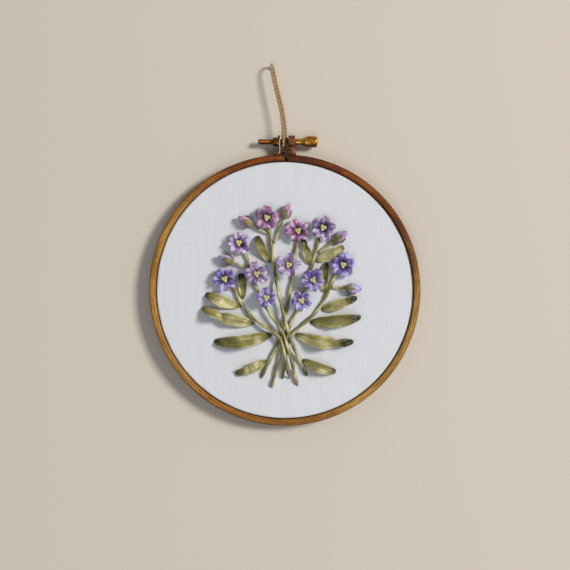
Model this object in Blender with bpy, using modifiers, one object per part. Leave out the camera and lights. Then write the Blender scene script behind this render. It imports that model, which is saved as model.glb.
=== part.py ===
"""Ribbon-embroidered posy on white cotton, stretched in a round wooden hoop that lies on its back.

The hoop's back edges are on z = 0, the picture faces +Z, and its top is towards +Y, where a brass screw
clamps the split outer hoop and a loop of twine hangs from it. Everything hangs under one empty at the
middle of the hoop, so places below are measured from there.
"""

import math
from collections import namedtuple

import bmesh
import bpy
from mathutils import Vector

MM = 0.001

# Clearance kept between pieces that touch on the real object.
GAP = 0.3 * MM

# Both hoops. The outer one stands a little proud of the cloth, so the picture is set back in it.
OUTER_HOOP_INSIDE = 64.4 * MM
OUTER_HOOP_WALL = 3.3 * MM
OUTER_HOOP_DEPTH = 8.5 * MM
INNER_HOOP_WALL = 3.7 * MM
FRONT_ARRIS = 0.8 * MM
BACK_ARRIS = 0.4 * MM
SPLIT_WIDTH = 2.0 * MM
SPLIT_X = 0.5 * MM
HOOP_STEPS = 60

# The cloth is drawn with a workable thickness and turns down between the hoops.
CLOTH_THICKNESS = 1.0 * MM
CLOTH_SET_BACK = 1.3 * MM
CLOTH_SHOULDER = 0.9 * MM
CLOTH_EDGE = 0.6 * MM

OUTER_HOOP_RADIUS = OUTER_HOOP_INSIDE + OUTER_HOOP_WALL
CLOTH_RADIUS = OUTER_HOOP_INSIDE - GAP
INNER_HOOP_RADIUS = CLOTH_RADIUS - CLOTH_THICKNESS - GAP
CLOTH_TOP = OUTER_HOOP_DEPTH - CLOTH_SET_BACK
INNER_HOOP_DEPTH = CLOTH_TOP - CLOTH_THICKNESS - GAP

# The clamp: a screw along X through two lugs on the ends of the outer hoop.
SCREW_Y = OUTER_HOOP_RADIUS + 6.8 * MM
SCREW_Z = OUTER_HOOP_DEPTH / 2
SCREW_RADIUS = 1.35 * MM
SCREW_START = -13.5 * MM
SCREW_NECK_START = 5.4 * MM
SCREW_NECK_RADIUS = 1.7 * MM
SCREW_HEAD_START = 9.4 * MM
SCREW_HEAD_RADIUS = 2.7 * MM
SCREW_END = 16.3 * MM
SCREW_EDGE = 0.6 * MM
SCREW_STEPS = 20
LUG_PLATE_RADIUS = 3.2 * MM
LUG_BARREL_RADIUS = 2.2 * MM
LUG_NECK_DEPTH = 3.4 * MM
LUG_FOOT_DEPTH = 6.4 * MM
LUG_FOOT_THICKNESS = 0.8 * MM
LUG_STEPS = 20

# A lug is a plate with a round end that the screw passes through, and a foot against the outer side of
# the hoop. The left one has a barrel beside its plate. Places are in millimetres along X.
Lug = namedtuple("Lug", "name plate_from plate_to barrel_from foot_from foot_to finish")
LUGS = (
    Lug("lug_left", -3.5, -2.4, -5.9, -5.4, -2.4, "brass"),
    Lug("lug_right", 1.75, 5.1, None, 1.75, 5.7, "dark bronze"),
)

# The hanging loop is one length of twine that passes round the screw and ends in a knot below it.
TWINE_RADIUS = 0.65 * MM
TWINE_STEP = 4 * TWINE_RADIUS
KNOT_X = -0.4 * MM
KNOT_Y = 69.85 * MM
KNOT_RADIUS = 1.05 * MM
KNOT_TURN_PITCH = 0.9 * MM
KNOT_TURN_TILT = 8

# Ribbon work. Stems are thin twisted ribbon, leaves and petals are flat ribbon drawn through the cloth.
FACE = CLOTH_TOP + GAP
STEM_RADIUS = 1.0 * MM
STEM_POINTS = 15
STEM_TIP_TAPER = 0.65
STEM_END_TAPER = 0.85
WAIST_Y = -24.0 * MM
OVER_STEM = 2 * STEM_RADIUS + GAP
RISE_RUN = 7.0 * MM
LEAF_THICKNESS = 1.0 * MM
LEAF_END_WIDTH = 1.3 * MM
LEAF_STEPS = 8
LEAF_RIBS = 3
PETALS = 5
PETAL_STEPS = 6
PETAL_NOTCH = 0.26
PETAL_BROADNESS = 0.6
BUD_STEPS = 8
STALK_RADIUS = 0.7 * MM
BULB_RADIUS = 2.5 * MM
BULB_LENGTH = 8.0 * MM

# The lugs are what reaches furthest towards +Y, the twine left out, and the origin is the middle of the box.
HOOP_Y = (OUTER_HOOP_RADIUS - SCREW_Y - LUG_PLATE_RADIUS) / 2

# Stems, in millimetres from the middle of the hoop: the cut tail, the waist where all of them are held
# together, the tip, and how far the upper part bows sideways. The stems that lean left pass over the
# others between two heights.
Stem = namedtuple("Stem", "name tail_x tail_y waist_x tip_x tip_y bow over_from over_to")
STEMS = (
    Stem("stem_right_inner", -12.5, -45.0, -2.8, 6.0, 24.0, 1.0, None, None),
    Stem("stem_right_middle", -7.0, -50.0, 0.0, 17.0, 26.0, 2.0, None, None),
    Stem("stem_right_outer", -1.5, -45.5, 2.8, 25.5, 8.0, 3.0, None, None),
    Stem("stem_left_inner", 11.5, -44.0, 2.8, -8.0, 31.0, -1.5, -29, 1),
    Stem("stem_left_middle", 6.5, -49.0, 0.0, -20.0, 19.0, -2.5, -36, -11),
    Stem("stem_left_outer", 2.2, -44.0, -2.8, -26.5, 2.0, -3.0, -42, -19),
)

# Leaves grow from a stem at one height, on its left (-1) or right (+1) side. Angles are in degrees: the
# heading is counted from +X, turn is how much it bends along its length, and roll is how far one edge
# tips up towards the tip.
Leaf = namedtuple("Leaf", "name stem at_y side heading length width turn lift roll")
LEAVES = (
    Leaf("leaf_base_left", "stem_left_outer", -21.0, -1, 200, 29.0, 6.6, -26, 2.4, 24),
    Leaf("leaf_base_right", "stem_right_outer", -21.0, 1, -22, 29.0, 6.6, 30, 2.2, -22),
    Leaf("leaf_low_left", "stem_left_outer", -15.0, -1, 174, 27.0, 6.8, -22, 2.6, -26),
    Leaf("leaf_low_right", "stem_right_outer", -15.0, 1, -2, 25.0, 6.8, 16, 2.6, 28),
    Leaf("leaf_side_left", "stem_left_outer", -7.5, -1, 168, 18.0, 5.8, -16, 1.6, 20),
    Leaf("leaf_side_right", "stem_right_outer", -8.0, 1, 14, 18.0, 5.8, 10, 1.8, -20),
    Leaf("leaf_between_left", "stem_left_outer", -4.5, 1, 88, 12.0, 4.4, 14, 0.6, 12),
    Leaf("leaf_between_right", "stem_right_outer", -1.0, -1, 92, 14.0, 4.4, -14, 0.6, -12),
    Leaf("leaf_inner_left", "stem_left_inner", 14.0, -1, 124, 14.0, 5.0, -16, 1.0, 18),
    Leaf("leaf_inner_right", "stem_right_middle", 14.0, -1, 100, 13.0, 4.6, 10, 0.8, -14),
    Leaf("leaf_upper_right", "stem_right_middle", 14.5, 1, 22, 15.0, 5.4, 10, 1.4, 24),
    Leaf("leaf_tail_left", "stem_right_inner", -37.0, -1, 214, 16.0, 5.4, -24, 1.8, 26),
    Leaf("leaf_tail_right", "stem_left_inner", -36.0, 1, -30, 17.0, 5.4, 22, 1.8, -26),
)

# Blossoms, in millimetres from the middle of the hoop. Level 1 sits on top of the stems.
Blossom = namedtuple("Blossom", "name x y radius level turn colour")
BLOSSOMS = (
    Blossom("blossom_top_left", -9.0, 36.0, 6.2, 0, 10, "mauve"),
    Blossom("blossom_top_right", 6.5, 29.5, 6.2, 0, 40, "mauve"),
    Blossom("blossom_upper_left", -23.0, 23.5, 6.0, 0, 25, "lilac"),
    Blossom("blossom_upper_right", 19.0, 31.0, 6.2, 0, 0, "lilac"),
    Blossom("blossom_side_left", -30.0, 5.5, 6.2, 0, 50, "violet"),
    Blossom("blossom_side_right", 29.0, 12.5, 6.2, 0, 15, "violet"),
    Blossom("blossom_middle_left", -14.0, 8.0, 6.0, 1, 30, "lilac"),
    Blossom("blossom_middle", 1.8, 12.5, 6.4, 1, 5, "lilac"),
    Blossom("blossom_middle_right", 14.0, 5.0, 6.0, 1, 60, "violet"),
    Blossom("blossom_low_left", -9.2, -3.8, 5.2, 1, 20, "violet"),
    Blossom("blossom_low_right", 8.2, -5.2, 5.2, 1, 45, "violet"),
)

# Buds lie on the cloth on short stalks, each grown from the side of a stem as a leaf is.
Bud = namedtuple("Bud", "name stem at_y side heading length colour")
BUDS = (
    Bud("bud_left", "stem_left_middle", 12.0, -1, 156, 15.0, "lilac"),
    Bud("bud_right", "stem_right_outer", 2.0, 1, -4, 14.0, "violet"),
    Bud("bud_upper_left", "stem_left_inner", 28.5, -1, 150, 16.0, "mauve"),
    Bud("bud_upper_right", "stem_right_middle", 20.0, 1, 36, 17.0, "lilac"),
    Bud("bud_crest", "stem_left_inner", 24.0, 1, 69, 20.0, "mauve"),
)

# One blossom from its middle to its rim and back underneath, as shares of the radius and millimetres.
# The notches between the petals are lower than the petals.
Ring = namedtuple("Ring", "reach petal notch")
BLOSSOM_RINGS = (
    Ring(0.00, 3.9, 3.9),
    Ring(0.34, 3.1, 2.7),
    Ring(0.78, 3.9, 2.7),
    Ring(1.00, 3.0, 2.2),
    Ring(0.78, 2.0, 1.4),
    Ring(0.30, 0.0, 0.0),
    Ring(0.00, 0.0, 0.0),
)

# The bulb of a bud, as shares of its radius and of its length from the point down.
BulbRow = namedtuple("BulbRow", "width down")
BULB_ROWS = (
    BulbRow(0.40, 0.06),
    BulbRow(0.82, 0.34),
    BulbRow(1.00, 0.60),
    BulbRow(0.74, 0.88),
)

# The twine's route in millimetres, from the knot round the front of the screw, out to the end of the
# loop, and back behind the screw to the knot.
TWINE_ROUTE = (
    (-0.65, 72.03, 5.35),
    (-0.65, 72.76, 6.32),
    (-0.65, 73.80, 6.86),
    (-0.65, 74.80, 6.95),
    (-0.62, 78.00, 6.95),
    (-0.95, 82.00, 6.95),
    (-1.65, 87.00, 6.90),
    (-2.60, 92.00, 6.80),
    (-3.85, 97.00, 6.65),
    (-5.05, 102.00, 6.45),
    (-6.10, 106.50, 6.25),
    (-6.68, 110.20, 6.10),
    (-6.85, 112.00, 5.70),
    (-6.80, 113.05, 4.75),
    (-6.45, 113.40, 3.40),
    (-6.05, 113.00, 2.05),
    (-5.75, 111.90, 1.05),
    (-5.35, 110.00, 0.72),
    (-4.60, 106.00, 0.70),
    (-3.62, 102.00, 0.70),
    (-2.38, 97.00, 0.70),
    (-1.15, 92.00, 0.72),
    (-0.30, 87.00, 0.85),
    (0.35, 82.00, 1.15),
    (0.60, 78.00, 1.45),
    (0.45, 74.80, 1.55),
    (0.35, 73.80, 1.64),
    (0.25, 72.76, 2.18),
    (0.20, 72.03, 3.15),
)

Finish = namedtuple("Finish", "red green blue roughness metallic")
FINISHES = {
    "stained wood": Finish(0.27, 0.13, 0.045, 0.45, 0.0),
    "white cotton": Finish(0.72, 0.73, 0.76, 0.9, 0.0),
    "brass": Finish(0.60, 0.40, 0.12, 0.35, 1.0),
    "dark bronze": Finish(0.13, 0.07, 0.045, 0.5, 1.0),
    "jute twine": Finish(0.36, 0.25, 0.12, 0.95, 0.0),
    "olive ribbon": Finish(0.30, 0.29, 0.10, 0.55, 0.0),
    "mauve": Finish(0.38, 0.19, 0.34, 0.55, 0.0),
    "lilac": Finish(0.44, 0.30, 0.54, 0.55, 0.0),
    "violet": Finish(0.24, 0.17, 0.46, 0.55, 0.0),
}


def clear_scene():
    for old in list(bpy.data.objects):
        bpy.data.objects.remove(old, do_unlink=True)


def collection(name):
    made = bpy.data.collections.new(name)
    bpy.context.scene.collection.children.link(made)
    return made


def material(name):
    """A Principled material for one finish, made once and shared."""
    if name in bpy.data.materials:
        return bpy.data.materials[name]
    finish = FINISHES[name]
    made = bpy.data.materials.new(name)
    made.use_nodes = True
    shader = made.node_tree.nodes["Principled BSDF"]
    shader.inputs["Base Color"].default_value = (finish.red, finish.green, finish.blue, 1.0)
    shader.inputs["Roughness"].default_value = finish.roughness
    shader.inputs["Metallic"].default_value = finish.metallic
    return made


def add_part(name, data, finish):
    """Put a mesh or curve into the model under the middle of the hoop."""
    part = bpy.data.objects.new(name, data)
    part.data.materials.append(material(finish))
    PARTS.objects.link(part)
    part.parent = MIDDLE
    return part


def finished_mesh(bm, name, smooth_angle=40):
    """Turn a bmesh into a mesh that is shaded smooth across shallow angles."""
    mesh = bpy.data.meshes.new(name)
    bm.to_mesh(mesh)
    bm.free()
    mesh.shade_smooth()
    mesh.set_sharp_from_angle(angle=math.radians(smooth_angle))
    return mesh


def turned_part(name, profile, steps, finish, closed):
    """Sweep a profile of radii and heights round Z. It runs down the outer side, from top to bottom."""
    bm = bmesh.new()
    points = [bm.verts.new((radius, 0.0, height)) for radius, height in profile]
    ends = points[1:] + points[:1] if closed else points[1:]
    for start, end in zip(points, ends):
        bm.edges.new((start, end))
    part = add_part(name, finished_mesh(bm, name), finish)
    sweep = part.modifiers.new("sweep", "SCREW")
    sweep.steps = steps
    sweep.render_steps = steps
    sweep.use_merge_vertices = True
    sweep.merge_threshold = 0.01 * MM
    return part


def corner(centre_radius, centre_height, arris, start, end, segments):
    """The points of a rounded corner, from one angle to another in degrees."""
    points = []
    for step in range(segments + 1):
        angle = math.radians(start + (end - start) * step / segments)
        points.append((centre_radius + arris * math.cos(angle), centre_height + arris * math.sin(angle)))
    return points


def hoop_section(inside, outside, depth):
    """The section of a hoop, with well rounded front edges and a small chamfer at the back."""
    front = depth - FRONT_ARRIS
    section = corner(outside - FRONT_ARRIS, front, FRONT_ARRIS, 90, 0, 3)
    section += corner(outside - BACK_ARRIS, BACK_ARRIS, BACK_ARRIS, 0, -90, 1)
    section += corner(inside + BACK_ARRIS, BACK_ARRIS, BACK_ARRIS, -90, -180, 1)
    section += corner(inside + FRONT_ARRIS, front, FRONT_ARRIS, 180, 90, 3)
    return section


def cutter_box(name, size, place):
    """A box that only cuts or joins, kept out of the model."""
    bm = bmesh.new()
    bmesh.ops.create_cube(bm, size=1.0)
    bmesh.ops.scale(bm, vec=Vector(size), verts=bm.verts)
    return cutter(name, bm, place)


def cutter(name, bm, place):
    mesh = bpy.data.meshes.new(name)
    bm.to_mesh(mesh)
    bm.free()
    tool = bpy.data.objects.new(name, mesh)
    tool.location = place
    tool.parent = MIDDLE
    tool.hide_render = True
    tool.display_type = "WIRE"
    CUTTERS.objects.link(tool)
    return tool


def add_boolean(part, tool, operation):
    change = part.modifiers.new(tool.name, "BOOLEAN")
    change.operation = operation
    change.solver = "EXACT"
    change.object = tool


def make_hoops():
    section = hoop_section(OUTER_HOOP_INSIDE, OUTER_HOOP_RADIUS, OUTER_HOOP_DEPTH)
    outer = turned_part("outer_hoop", section, HOOP_STEPS, "stained wood", True)
    split_size = (SPLIT_WIDTH, 4 * OUTER_HOOP_WALL, 2 * OUTER_HOOP_DEPTH)
    split = cutter_box("hoop_split", split_size, (SPLIT_X, OUTER_HOOP_RADIUS, SCREW_Z))
    add_boolean(outer, split, "DIFFERENCE")
    section = hoop_section(INNER_HOOP_RADIUS - INNER_HOOP_WALL, INNER_HOOP_RADIUS, INNER_HOOP_DEPTH)
    turned_part("inner_hoop", section, HOOP_STEPS, "stained wood", True)


def make_cloth():
    """The cloth lies flat over the inner hoop, rounds its edge and goes down between the hoops."""
    inside = CLOTH_RADIUS - CLOTH_THICKNESS
    under = CLOTH_TOP - CLOTH_THICKNESS
    profile = [(0.0, CLOTH_TOP)]
    profile += corner(CLOTH_RADIUS - CLOTH_SHOULDER, CLOTH_TOP - CLOTH_SHOULDER, CLOTH_SHOULDER, 90, 0, 3)
    profile += [(CLOTH_RADIUS, CLOTH_EDGE), (inside, CLOTH_EDGE), (inside, under), (0.0, under)]
    turned_part("cloth", profile, HOOP_STEPS, "white cotton", False)


def lug_cylinder(radius, length):
    bm = bmesh.new()
    bmesh.ops.create_cone(
        bm, cap_ends=True, segments=LUG_STEPS, radius1=radius, radius2=radius, depth=length
    )
    return bm


def turn_along_screw(part, start, end):
    """Lay a cylinder that stands on Z along the screw's axis, from one place to another."""
    part.rotation_euler = (0.0, math.radians(90), 0.0)
    part.location = ((start + end) / 2, SCREW_Y, SCREW_Z)


def make_lug(lug):
    start = lug.plate_from * MM
    end = lug.plate_to * MM
    mesh = finished_mesh(lug_cylinder(LUG_PLATE_RADIUS, end - start), lug.name)
    part = add_part(lug.name, mesh, lug.finish)
    turn_along_screw(part, start, end)
    foot_bottom = OUTER_HOOP_RADIUS + GAP
    neck_height = SCREW_Y - foot_bottom
    neck_place = ((start + end) / 2, foot_bottom + neck_height / 2, SCREW_Z)
    neck = cutter_box(lug.name + "_neck", (end - start, neck_height, LUG_NECK_DEPTH), neck_place)
    add_boolean(part, neck, "UNION")
    foot_width = (lug.foot_to - lug.foot_from) * MM
    foot_x = (lug.foot_from + lug.foot_to) / 2 * MM
    foot_place = (foot_x, foot_bottom + LUG_FOOT_THICKNESS / 2, SCREW_Z)
    foot = cutter_box(lug.name + "_foot", (foot_width, LUG_FOOT_THICKNESS, LUG_FOOT_DEPTH), foot_place)
    add_boolean(part, foot, "UNION")
    if lug.barrel_from is not None:
        barrel_start = lug.barrel_from * MM
        barrel_end = (start + end) / 2
        barrel_bm = lug_cylinder(LUG_BARREL_RADIUS, barrel_end - barrel_start)
        barrel = cutter(lug.name + "_barrel", barrel_bm, (0.0, 0.0, 0.0))
        turn_along_screw(barrel, barrel_start, barrel_end)
        add_boolean(part, barrel, "UNION")
    bore_start = 2 * SCREW_START
    bore_bm = lug_cylinder(SCREW_RADIUS + GAP, -2 * bore_start)
    bore = cutter(lug.name + "_bore", bore_bm, (0.0, 0.0, 0.0))
    turn_along_screw(bore, bore_start, -bore_start)
    add_boolean(part, bore, "DIFFERENCE")


def make_clamp():
    for lug in LUGS:
        make_lug(lug)
    profile = [(0.0, SCREW_END)]
    profile += corner(SCREW_HEAD_RADIUS - SCREW_EDGE, SCREW_END - SCREW_EDGE, SCREW_EDGE, 90, 0, 2)
    profile += [
        (SCREW_HEAD_RADIUS, SCREW_HEAD_START + 2 * SCREW_EDGE),
        (SCREW_NECK_RADIUS, SCREW_HEAD_START),
        (SCREW_NECK_RADIUS, SCREW_NECK_START),
        (SCREW_RADIUS, SCREW_NECK_START),
        (SCREW_RADIUS, SCREW_START + SCREW_EDGE),
        (SCREW_RADIUS - SCREW_EDGE, SCREW_START),
        (0.0, SCREW_START),
    ]
    screw = turned_part("clamp_screw", profile, SCREW_STEPS, "brass", False)
    screw.rotation_euler = (0.0, math.radians(90), 0.0)
    screw.location = (0.0, SCREW_Y, SCREW_Z)


def smooth_curve(points, steps):
    """Points on a smooth curve through the given ones, with a number of steps in each span."""
    points = [Vector(point) for point in points]
    ends = [2 * points[0] - points[1]] + points + [2 * points[-1] - points[-2]]
    curve = [points[0]]
    for before, start, end, after in zip(ends, ends[1:], ends[2:], ends[3:]):
        for step in range(1, steps + 1):
            t = step / steps
            lean = (end - before) * t + (2 * before - 5 * start + 4 * end - after) * t ** 2
            sway = (3 * start - before - 3 * end + after) * t ** 3
            curve.append(start + (lean + sway) / 2)
    return curve


def evenly_spaced(curve, count):
    """A number of points at equal distances along a dense curve."""
    reach = [0.0]
    for start, end in zip(curve, curve[1:]):
        reach.append(reach[-1] + (end - start).length)
    chosen = []
    span = 0
    for index in range(count):
        wanted = reach[-1] * index / (count - 1)
        while span < len(curve) - 2 and reach[span + 1] < wanted:
            span += 1
        share = (wanted - reach[span]) / (reach[span + 1] - reach[span])
        chosen.append(curve[span].lerp(curve[span + 1], share))
    return chosen


def tube_part(name, points, radius, tapers, finish):
    """A round tube with filled ends along a row of points, thinner where a taper is below one."""
    data = bpy.data.curves.new(name, "CURVE")
    data.dimensions = "3D"
    data.bevel_depth = radius
    data.bevel_resolution = 2
    data.use_fill_caps = True
    spline = data.splines.new("POLY")
    spline.points.add(len(points) - 1)
    for spot, point, taper in zip(spline.points, points, tapers):
        spot.co = (*point, 1.0)
        spot.radius = taper
    return add_part(name, data, finish)


def make_hanging_loop():
    curve = smooth_curve([Vector(point) * MM for point in TWINE_ROUTE], 8)
    length = sum((end - start).length for start, end in zip(curve, curve[1:]))
    points = evenly_spaced(curve, round(length / TWINE_STEP) + 1)
    tube_part("hanging_loop", points, TWINE_RADIUS, [1.0] * len(points), "jute twine")


def make_knot():
    """The knot under the screw: three turns of twine, one above the other, round a core."""
    bm = bmesh.new()
    bmesh.ops.create_uvsphere(bm, u_segments=12, v_segments=8, radius=KNOT_RADIUS + TWINE_RADIUS / 2)
    knot = add_part("loop_knot", finished_mesh(bm, "loop_knot"), "jute twine")
    knot.location = (KNOT_X, KNOT_Y, SCREW_Z)
    for turn in (-1, 0, 1):
        bpy.ops.mesh.primitive_torus_add(
            major_segments=14, minor_segments=8, major_radius=KNOT_RADIUS, minor_radius=TWINE_RADIUS
        )
        wrap = bpy.context.object
        wrap.name = f"knot_turn_{turn + 1}"
        wrap.parent = MIDDLE
        wrap.location = (KNOT_X, KNOT_Y + turn * KNOT_TURN_PITCH, SCREW_Z)
        wrap.rotation_euler = (math.radians(90 + KNOT_TURN_TILT * turn), 0.0, 0.0)
        wrap.hide_render = True
        wrap.display_type = "WIRE"
        for home in list(wrap.users_collection):
            home.objects.unlink(wrap)
        CUTTERS.objects.link(wrap)
        add_boolean(knot, wrap, "UNION")


def ease(share):
    """Runs from 0 to 1 without a corner at either end."""
    share = min(max(share, 0.0), 1.0)
    return share * share * (3 - 2 * share)


def stem_curve(stem):
    """The middle line of a stem in plan, from its tail to its tip."""
    tail = Vector((stem.tail_x, stem.tail_y)) * MM
    waist = Vector((stem.waist_x * MM, WAIST_Y))
    tip = Vector((stem.tip_x, stem.tip_y)) * MM
    across = (tip - waist).orthogonal().normalized()
    knee = (waist + tip) / 2 - across * stem.bow * MM
    return smooth_curve([tail, waist, knee, tip], 12)


def stem_lift(stem, y):
    """How far a stem is raised where it passes over the others."""
    if stem.over_from is None:
        return 0.0
    up = ease((y - stem.over_from * MM) / RISE_RUN + 1)
    down = ease((stem.over_to * MM - y) / RISE_RUN + 1)
    return OVER_STEM * min(up, down)


def make_stems():
    for stem in STEMS:
        plan = evenly_spaced(stem_curve(stem), STEM_POINTS)
        tapers = [STEM_END_TAPER] + [1.0] * (STEM_POINTS - 3) + [STEM_END_TAPER, STEM_TIP_TAPER]
        points = []
        for spot, taper in zip(plan, tapers):
            height = FACE + STEM_RADIUS * taper + stem_lift(stem, spot.y)
            points.append(Vector((spot.x, spot.y, height)))
        tube_part(stem.name, points, STEM_RADIUS, tapers, "olive ribbon")


def stem_side(stem_name, at_y, side, heading, end_width):
    """Where a leaf or bud meets the side of a stem: a point that leaves the clearance between them."""
    stem = next(row for row in STEMS if row.name == stem_name)
    curve = stem_curve(stem)
    index = min(range(1, len(curve) - 1), key=lambda spot: abs(curve[spot].y - at_y * MM))
    along = (curve[index + 1] - curve[index - 1]).normalized()
    outward = Vector((along.y, -along.x)) * side
    skew = abs(math.sin(math.radians(heading) - math.atan2(outward.y, outward.x)))
    return curve[index] + outward * (STEM_RADIUS + GAP + 0.1 * MM + end_width / 2 * skew)


def leaf_point(leaf, root, along, across):
    """A point of a leaf's middle surface: along runs from root to tip, across from edge to edge."""
    start = math.radians(leaf.heading)
    turn = math.radians(leaf.turn)
    radius = leaf.length * MM / turn
    angle = start + turn * along
    x = root.x + radius * (math.sin(angle) - math.sin(start))
    y = root.y - radius * (math.cos(angle) - math.cos(start))
    arch = max(math.sin(math.pi * along), 0.0)
    half = (LEAF_END_WIDTH + (leaf.width * MM - LEAF_END_WIDTH) * arch ** 0.75) / 2
    roll = math.radians(leaf.roll) * ease(along * 1.2)
    height = FACE + LEAF_THICKNESS / 2 + half * abs(math.sin(roll)) + leaf.lift * MM * arch ** 1.5
    sideways = across * half * math.cos(roll)
    height += across * half * math.sin(roll)
    return Vector((x - math.sin(angle) * sideways, y + math.cos(angle) * sideways, height))


def make_leaves():
    for leaf in LEAVES:
        root = stem_side(leaf.stem, leaf.at_y, leaf.side, leaf.heading, LEAF_END_WIDTH)
        bm = bmesh.new()
        bmesh.ops.create_grid(bm, x_segments=LEAF_STEPS, y_segments=LEAF_RIBS, size=0.5)
        for vert in bm.verts:
            vert.co = leaf_point(leaf, root, vert.co.x + 0.5, vert.co.y * 2)
        part = add_part(leaf.name, finished_mesh(bm, leaf.name), "olive ribbon")
        thick = part.modifiers.new("thickness", "SOLIDIFY")
        thick.thickness = LEAF_THICKNESS
        thick.offset = 0.0


def make_blossoms():
    """A blossom starts as a ball whose rings are moved to the ring table and notched between petals."""
    for blossom in BLOSSOMS:
        bm = bmesh.new()
        rings = len(BLOSSOM_RINGS)
        bmesh.ops.create_uvsphere(bm, u_segments=PETALS * PETAL_STEPS, v_segments=rings - 1, radius=1.0)
        base = FACE + blossom.level * OVER_STEM
        for vert in bm.verts:
            polar = math.atan2(math.hypot(vert.co.x, vert.co.y), vert.co.z)
            ring = BLOSSOM_RINGS[round(polar / math.pi * (rings - 1))]
            angle = math.atan2(vert.co.y, vert.co.x)
            fullness = abs(math.cos(PETALS / 2 * angle)) ** PETAL_BROADNESS
            reach = ring.reach * blossom.radius * MM * (1 - PETAL_NOTCH * ring.reach * (1 - fullness))
            height = ring.notch + (ring.petal - ring.notch) * fullness
            swing = angle + math.radians(blossom.turn)
            vert.co = (
                blossom.x * MM + reach * math.cos(swing),
                blossom.y * MM + reach * math.sin(swing),
                base + height * MM,
            )
        add_part(blossom.name, finished_mesh(bm, blossom.name), blossom.colour)


def make_buds():
    """A bud is turned on its own axis: a thin stalk on the cloth, then a pointed bulb that lies on it."""
    for bud in BUDS:
        root = stem_side(bud.stem, bud.at_y, bud.side, bud.heading, 2 * STALK_RADIUS)
        length = bud.length * MM
        profile = [(0.0, length)]
        profile += [(BULB_RADIUS * row.width, length - BULB_LENGTH * row.down) for row in BULB_ROWS]
        profile += [(STALK_RADIUS, length - BULB_LENGTH), (STALK_RADIUS, 0.0), (0.0, 0.0)]
        part = turned_part(bud.name, profile, BUD_STEPS, bud.colour, False)
        climb = math.atan2(BULB_RADIUS - STALK_RADIUS, length - BULB_LENGTH / 2)
        part.rotation_euler = (0.0, math.radians(90) - climb, math.radians(bud.heading))
        part.location = (root.x, root.y, FACE + STALK_RADIUS)


clear_scene()
PARTS = collection("hoop_embroidery")
CUTTERS = collection("cutters")
MIDDLE = bpy.data.objects.new("hoop_middle", None)
PARTS.objects.link(MIDDLE)
MIDDLE.location = (0.0, HOOP_Y, 0.0)
make_hoops()
make_cloth()
make_clamp()
make_hanging_loop()
make_knot()
make_stems()
make_leaves()
make_blossoms()
make_buds()
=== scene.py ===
# %% [markdown]
# # Ribbon embroidery in a wooden hoop
#
# This lesson dresses the imported model of a small embroidery hoop: two wooden rings hold white cotton, and on
# the cotton is a posy worked in silk ribbon. The imported model is loaded first and stays as it is. It is the
# frame that every finer piece here is fitted to.

# %% Load the frame
import math
import random
from collections import namedtuple

import bmesh
import bpy
from mathutils import Matrix, Vector, noise


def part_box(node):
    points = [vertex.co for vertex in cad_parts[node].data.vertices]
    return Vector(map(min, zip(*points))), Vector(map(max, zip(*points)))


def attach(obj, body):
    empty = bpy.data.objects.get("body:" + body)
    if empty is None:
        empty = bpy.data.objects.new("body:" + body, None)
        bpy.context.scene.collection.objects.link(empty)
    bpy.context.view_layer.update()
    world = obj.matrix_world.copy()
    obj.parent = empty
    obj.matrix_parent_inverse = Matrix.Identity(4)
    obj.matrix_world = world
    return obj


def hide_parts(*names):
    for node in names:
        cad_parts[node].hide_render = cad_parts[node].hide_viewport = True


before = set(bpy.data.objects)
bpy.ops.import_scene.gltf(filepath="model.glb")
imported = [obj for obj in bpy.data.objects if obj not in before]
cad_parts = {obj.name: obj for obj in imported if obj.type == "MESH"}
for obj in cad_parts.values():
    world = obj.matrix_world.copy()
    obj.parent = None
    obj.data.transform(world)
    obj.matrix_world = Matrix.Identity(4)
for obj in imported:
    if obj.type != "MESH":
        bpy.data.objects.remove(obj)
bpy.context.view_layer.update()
print("frame:", len(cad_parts), "nodes")

# %% [markdown]
# ## Where things are
#
# A maker thinks in millimetres from the middle of the hoop, so every piece is shaped that way. One matrix
# then takes a finished mesh to metres and to its place in the frame. The main sizes are measured on the
# frame's own nodes, which keeps the two models together.

# %% Sizes from the frame
MM = 0.001

hoop_low, hoop_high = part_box("outer_hoop")
cloth_low, cloth_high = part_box("cloth")
HOOP_RADIUS = (hoop_high.x - hoop_low.x) / 2 / MM
HOOP_DEPTH = hoop_high.z / MM
HOOP_WALL = 3.3
HOOP_MIDDLE = Vector((0.0, (hoop_low.y + hoop_high.y) / 2, 0.0))
CLOTH_RADIUS = cloth_high.x / MM
CLOTH_TOP = cloth_high.z / MM
CLOTH_EDGE = cloth_low.z / MM
FACE = CLOTH_TOP + 0.3
TO_FRAME = Matrix.Translation(HOOP_MIDDLE) @ Matrix.Scale(MM, 4)
print("hoop radius", round(HOOP_RADIUS, 2), "cloth top", round(CLOTH_TOP, 2))

# %% [markdown]
# ## The camera
#
# The photograph was taken square to the picture. The hoop lies on its back here, so the camera looks
# straight down on it, with the top of the picture towards +Y. A long lens at half a metre gives the same
# flat view, and the frame is 285 mm wide at the cloth, which is half a millimetre for each pixel.

# %% Camera
VIEW_WIDTH = 0.285
LENS = 70.0
VIEW_MIDDLE = Vector((0.00008, HOOP_MIDDLE.y + 0.00255))

camera_data = bpy.data.cameras.new("camera")
camera_data.lens = LENS
camera_data.clip_start = 0.01
camera = bpy.data.objects.new("camera", camera_data)
camera_height = CLOTH_TOP * MM + VIEW_WIDTH * LENS / camera_data.sensor_width
camera.location = (VIEW_MIDDLE.x, VIEW_MIDDLE.y, camera_height)
bpy.context.scene.collection.objects.link(camera)
bpy.context.scene.camera = camera
print("camera", round(camera_height, 3), "m above the table")

# %% [markdown]
# ## Nodes and colours
#
# Materials are built from shader nodes, so nothing is read from disk and each finish keeps its detail at
# any distance. One function adds a node and another turns the hex colours that people write into the
# linear values that shaders work with.


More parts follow.
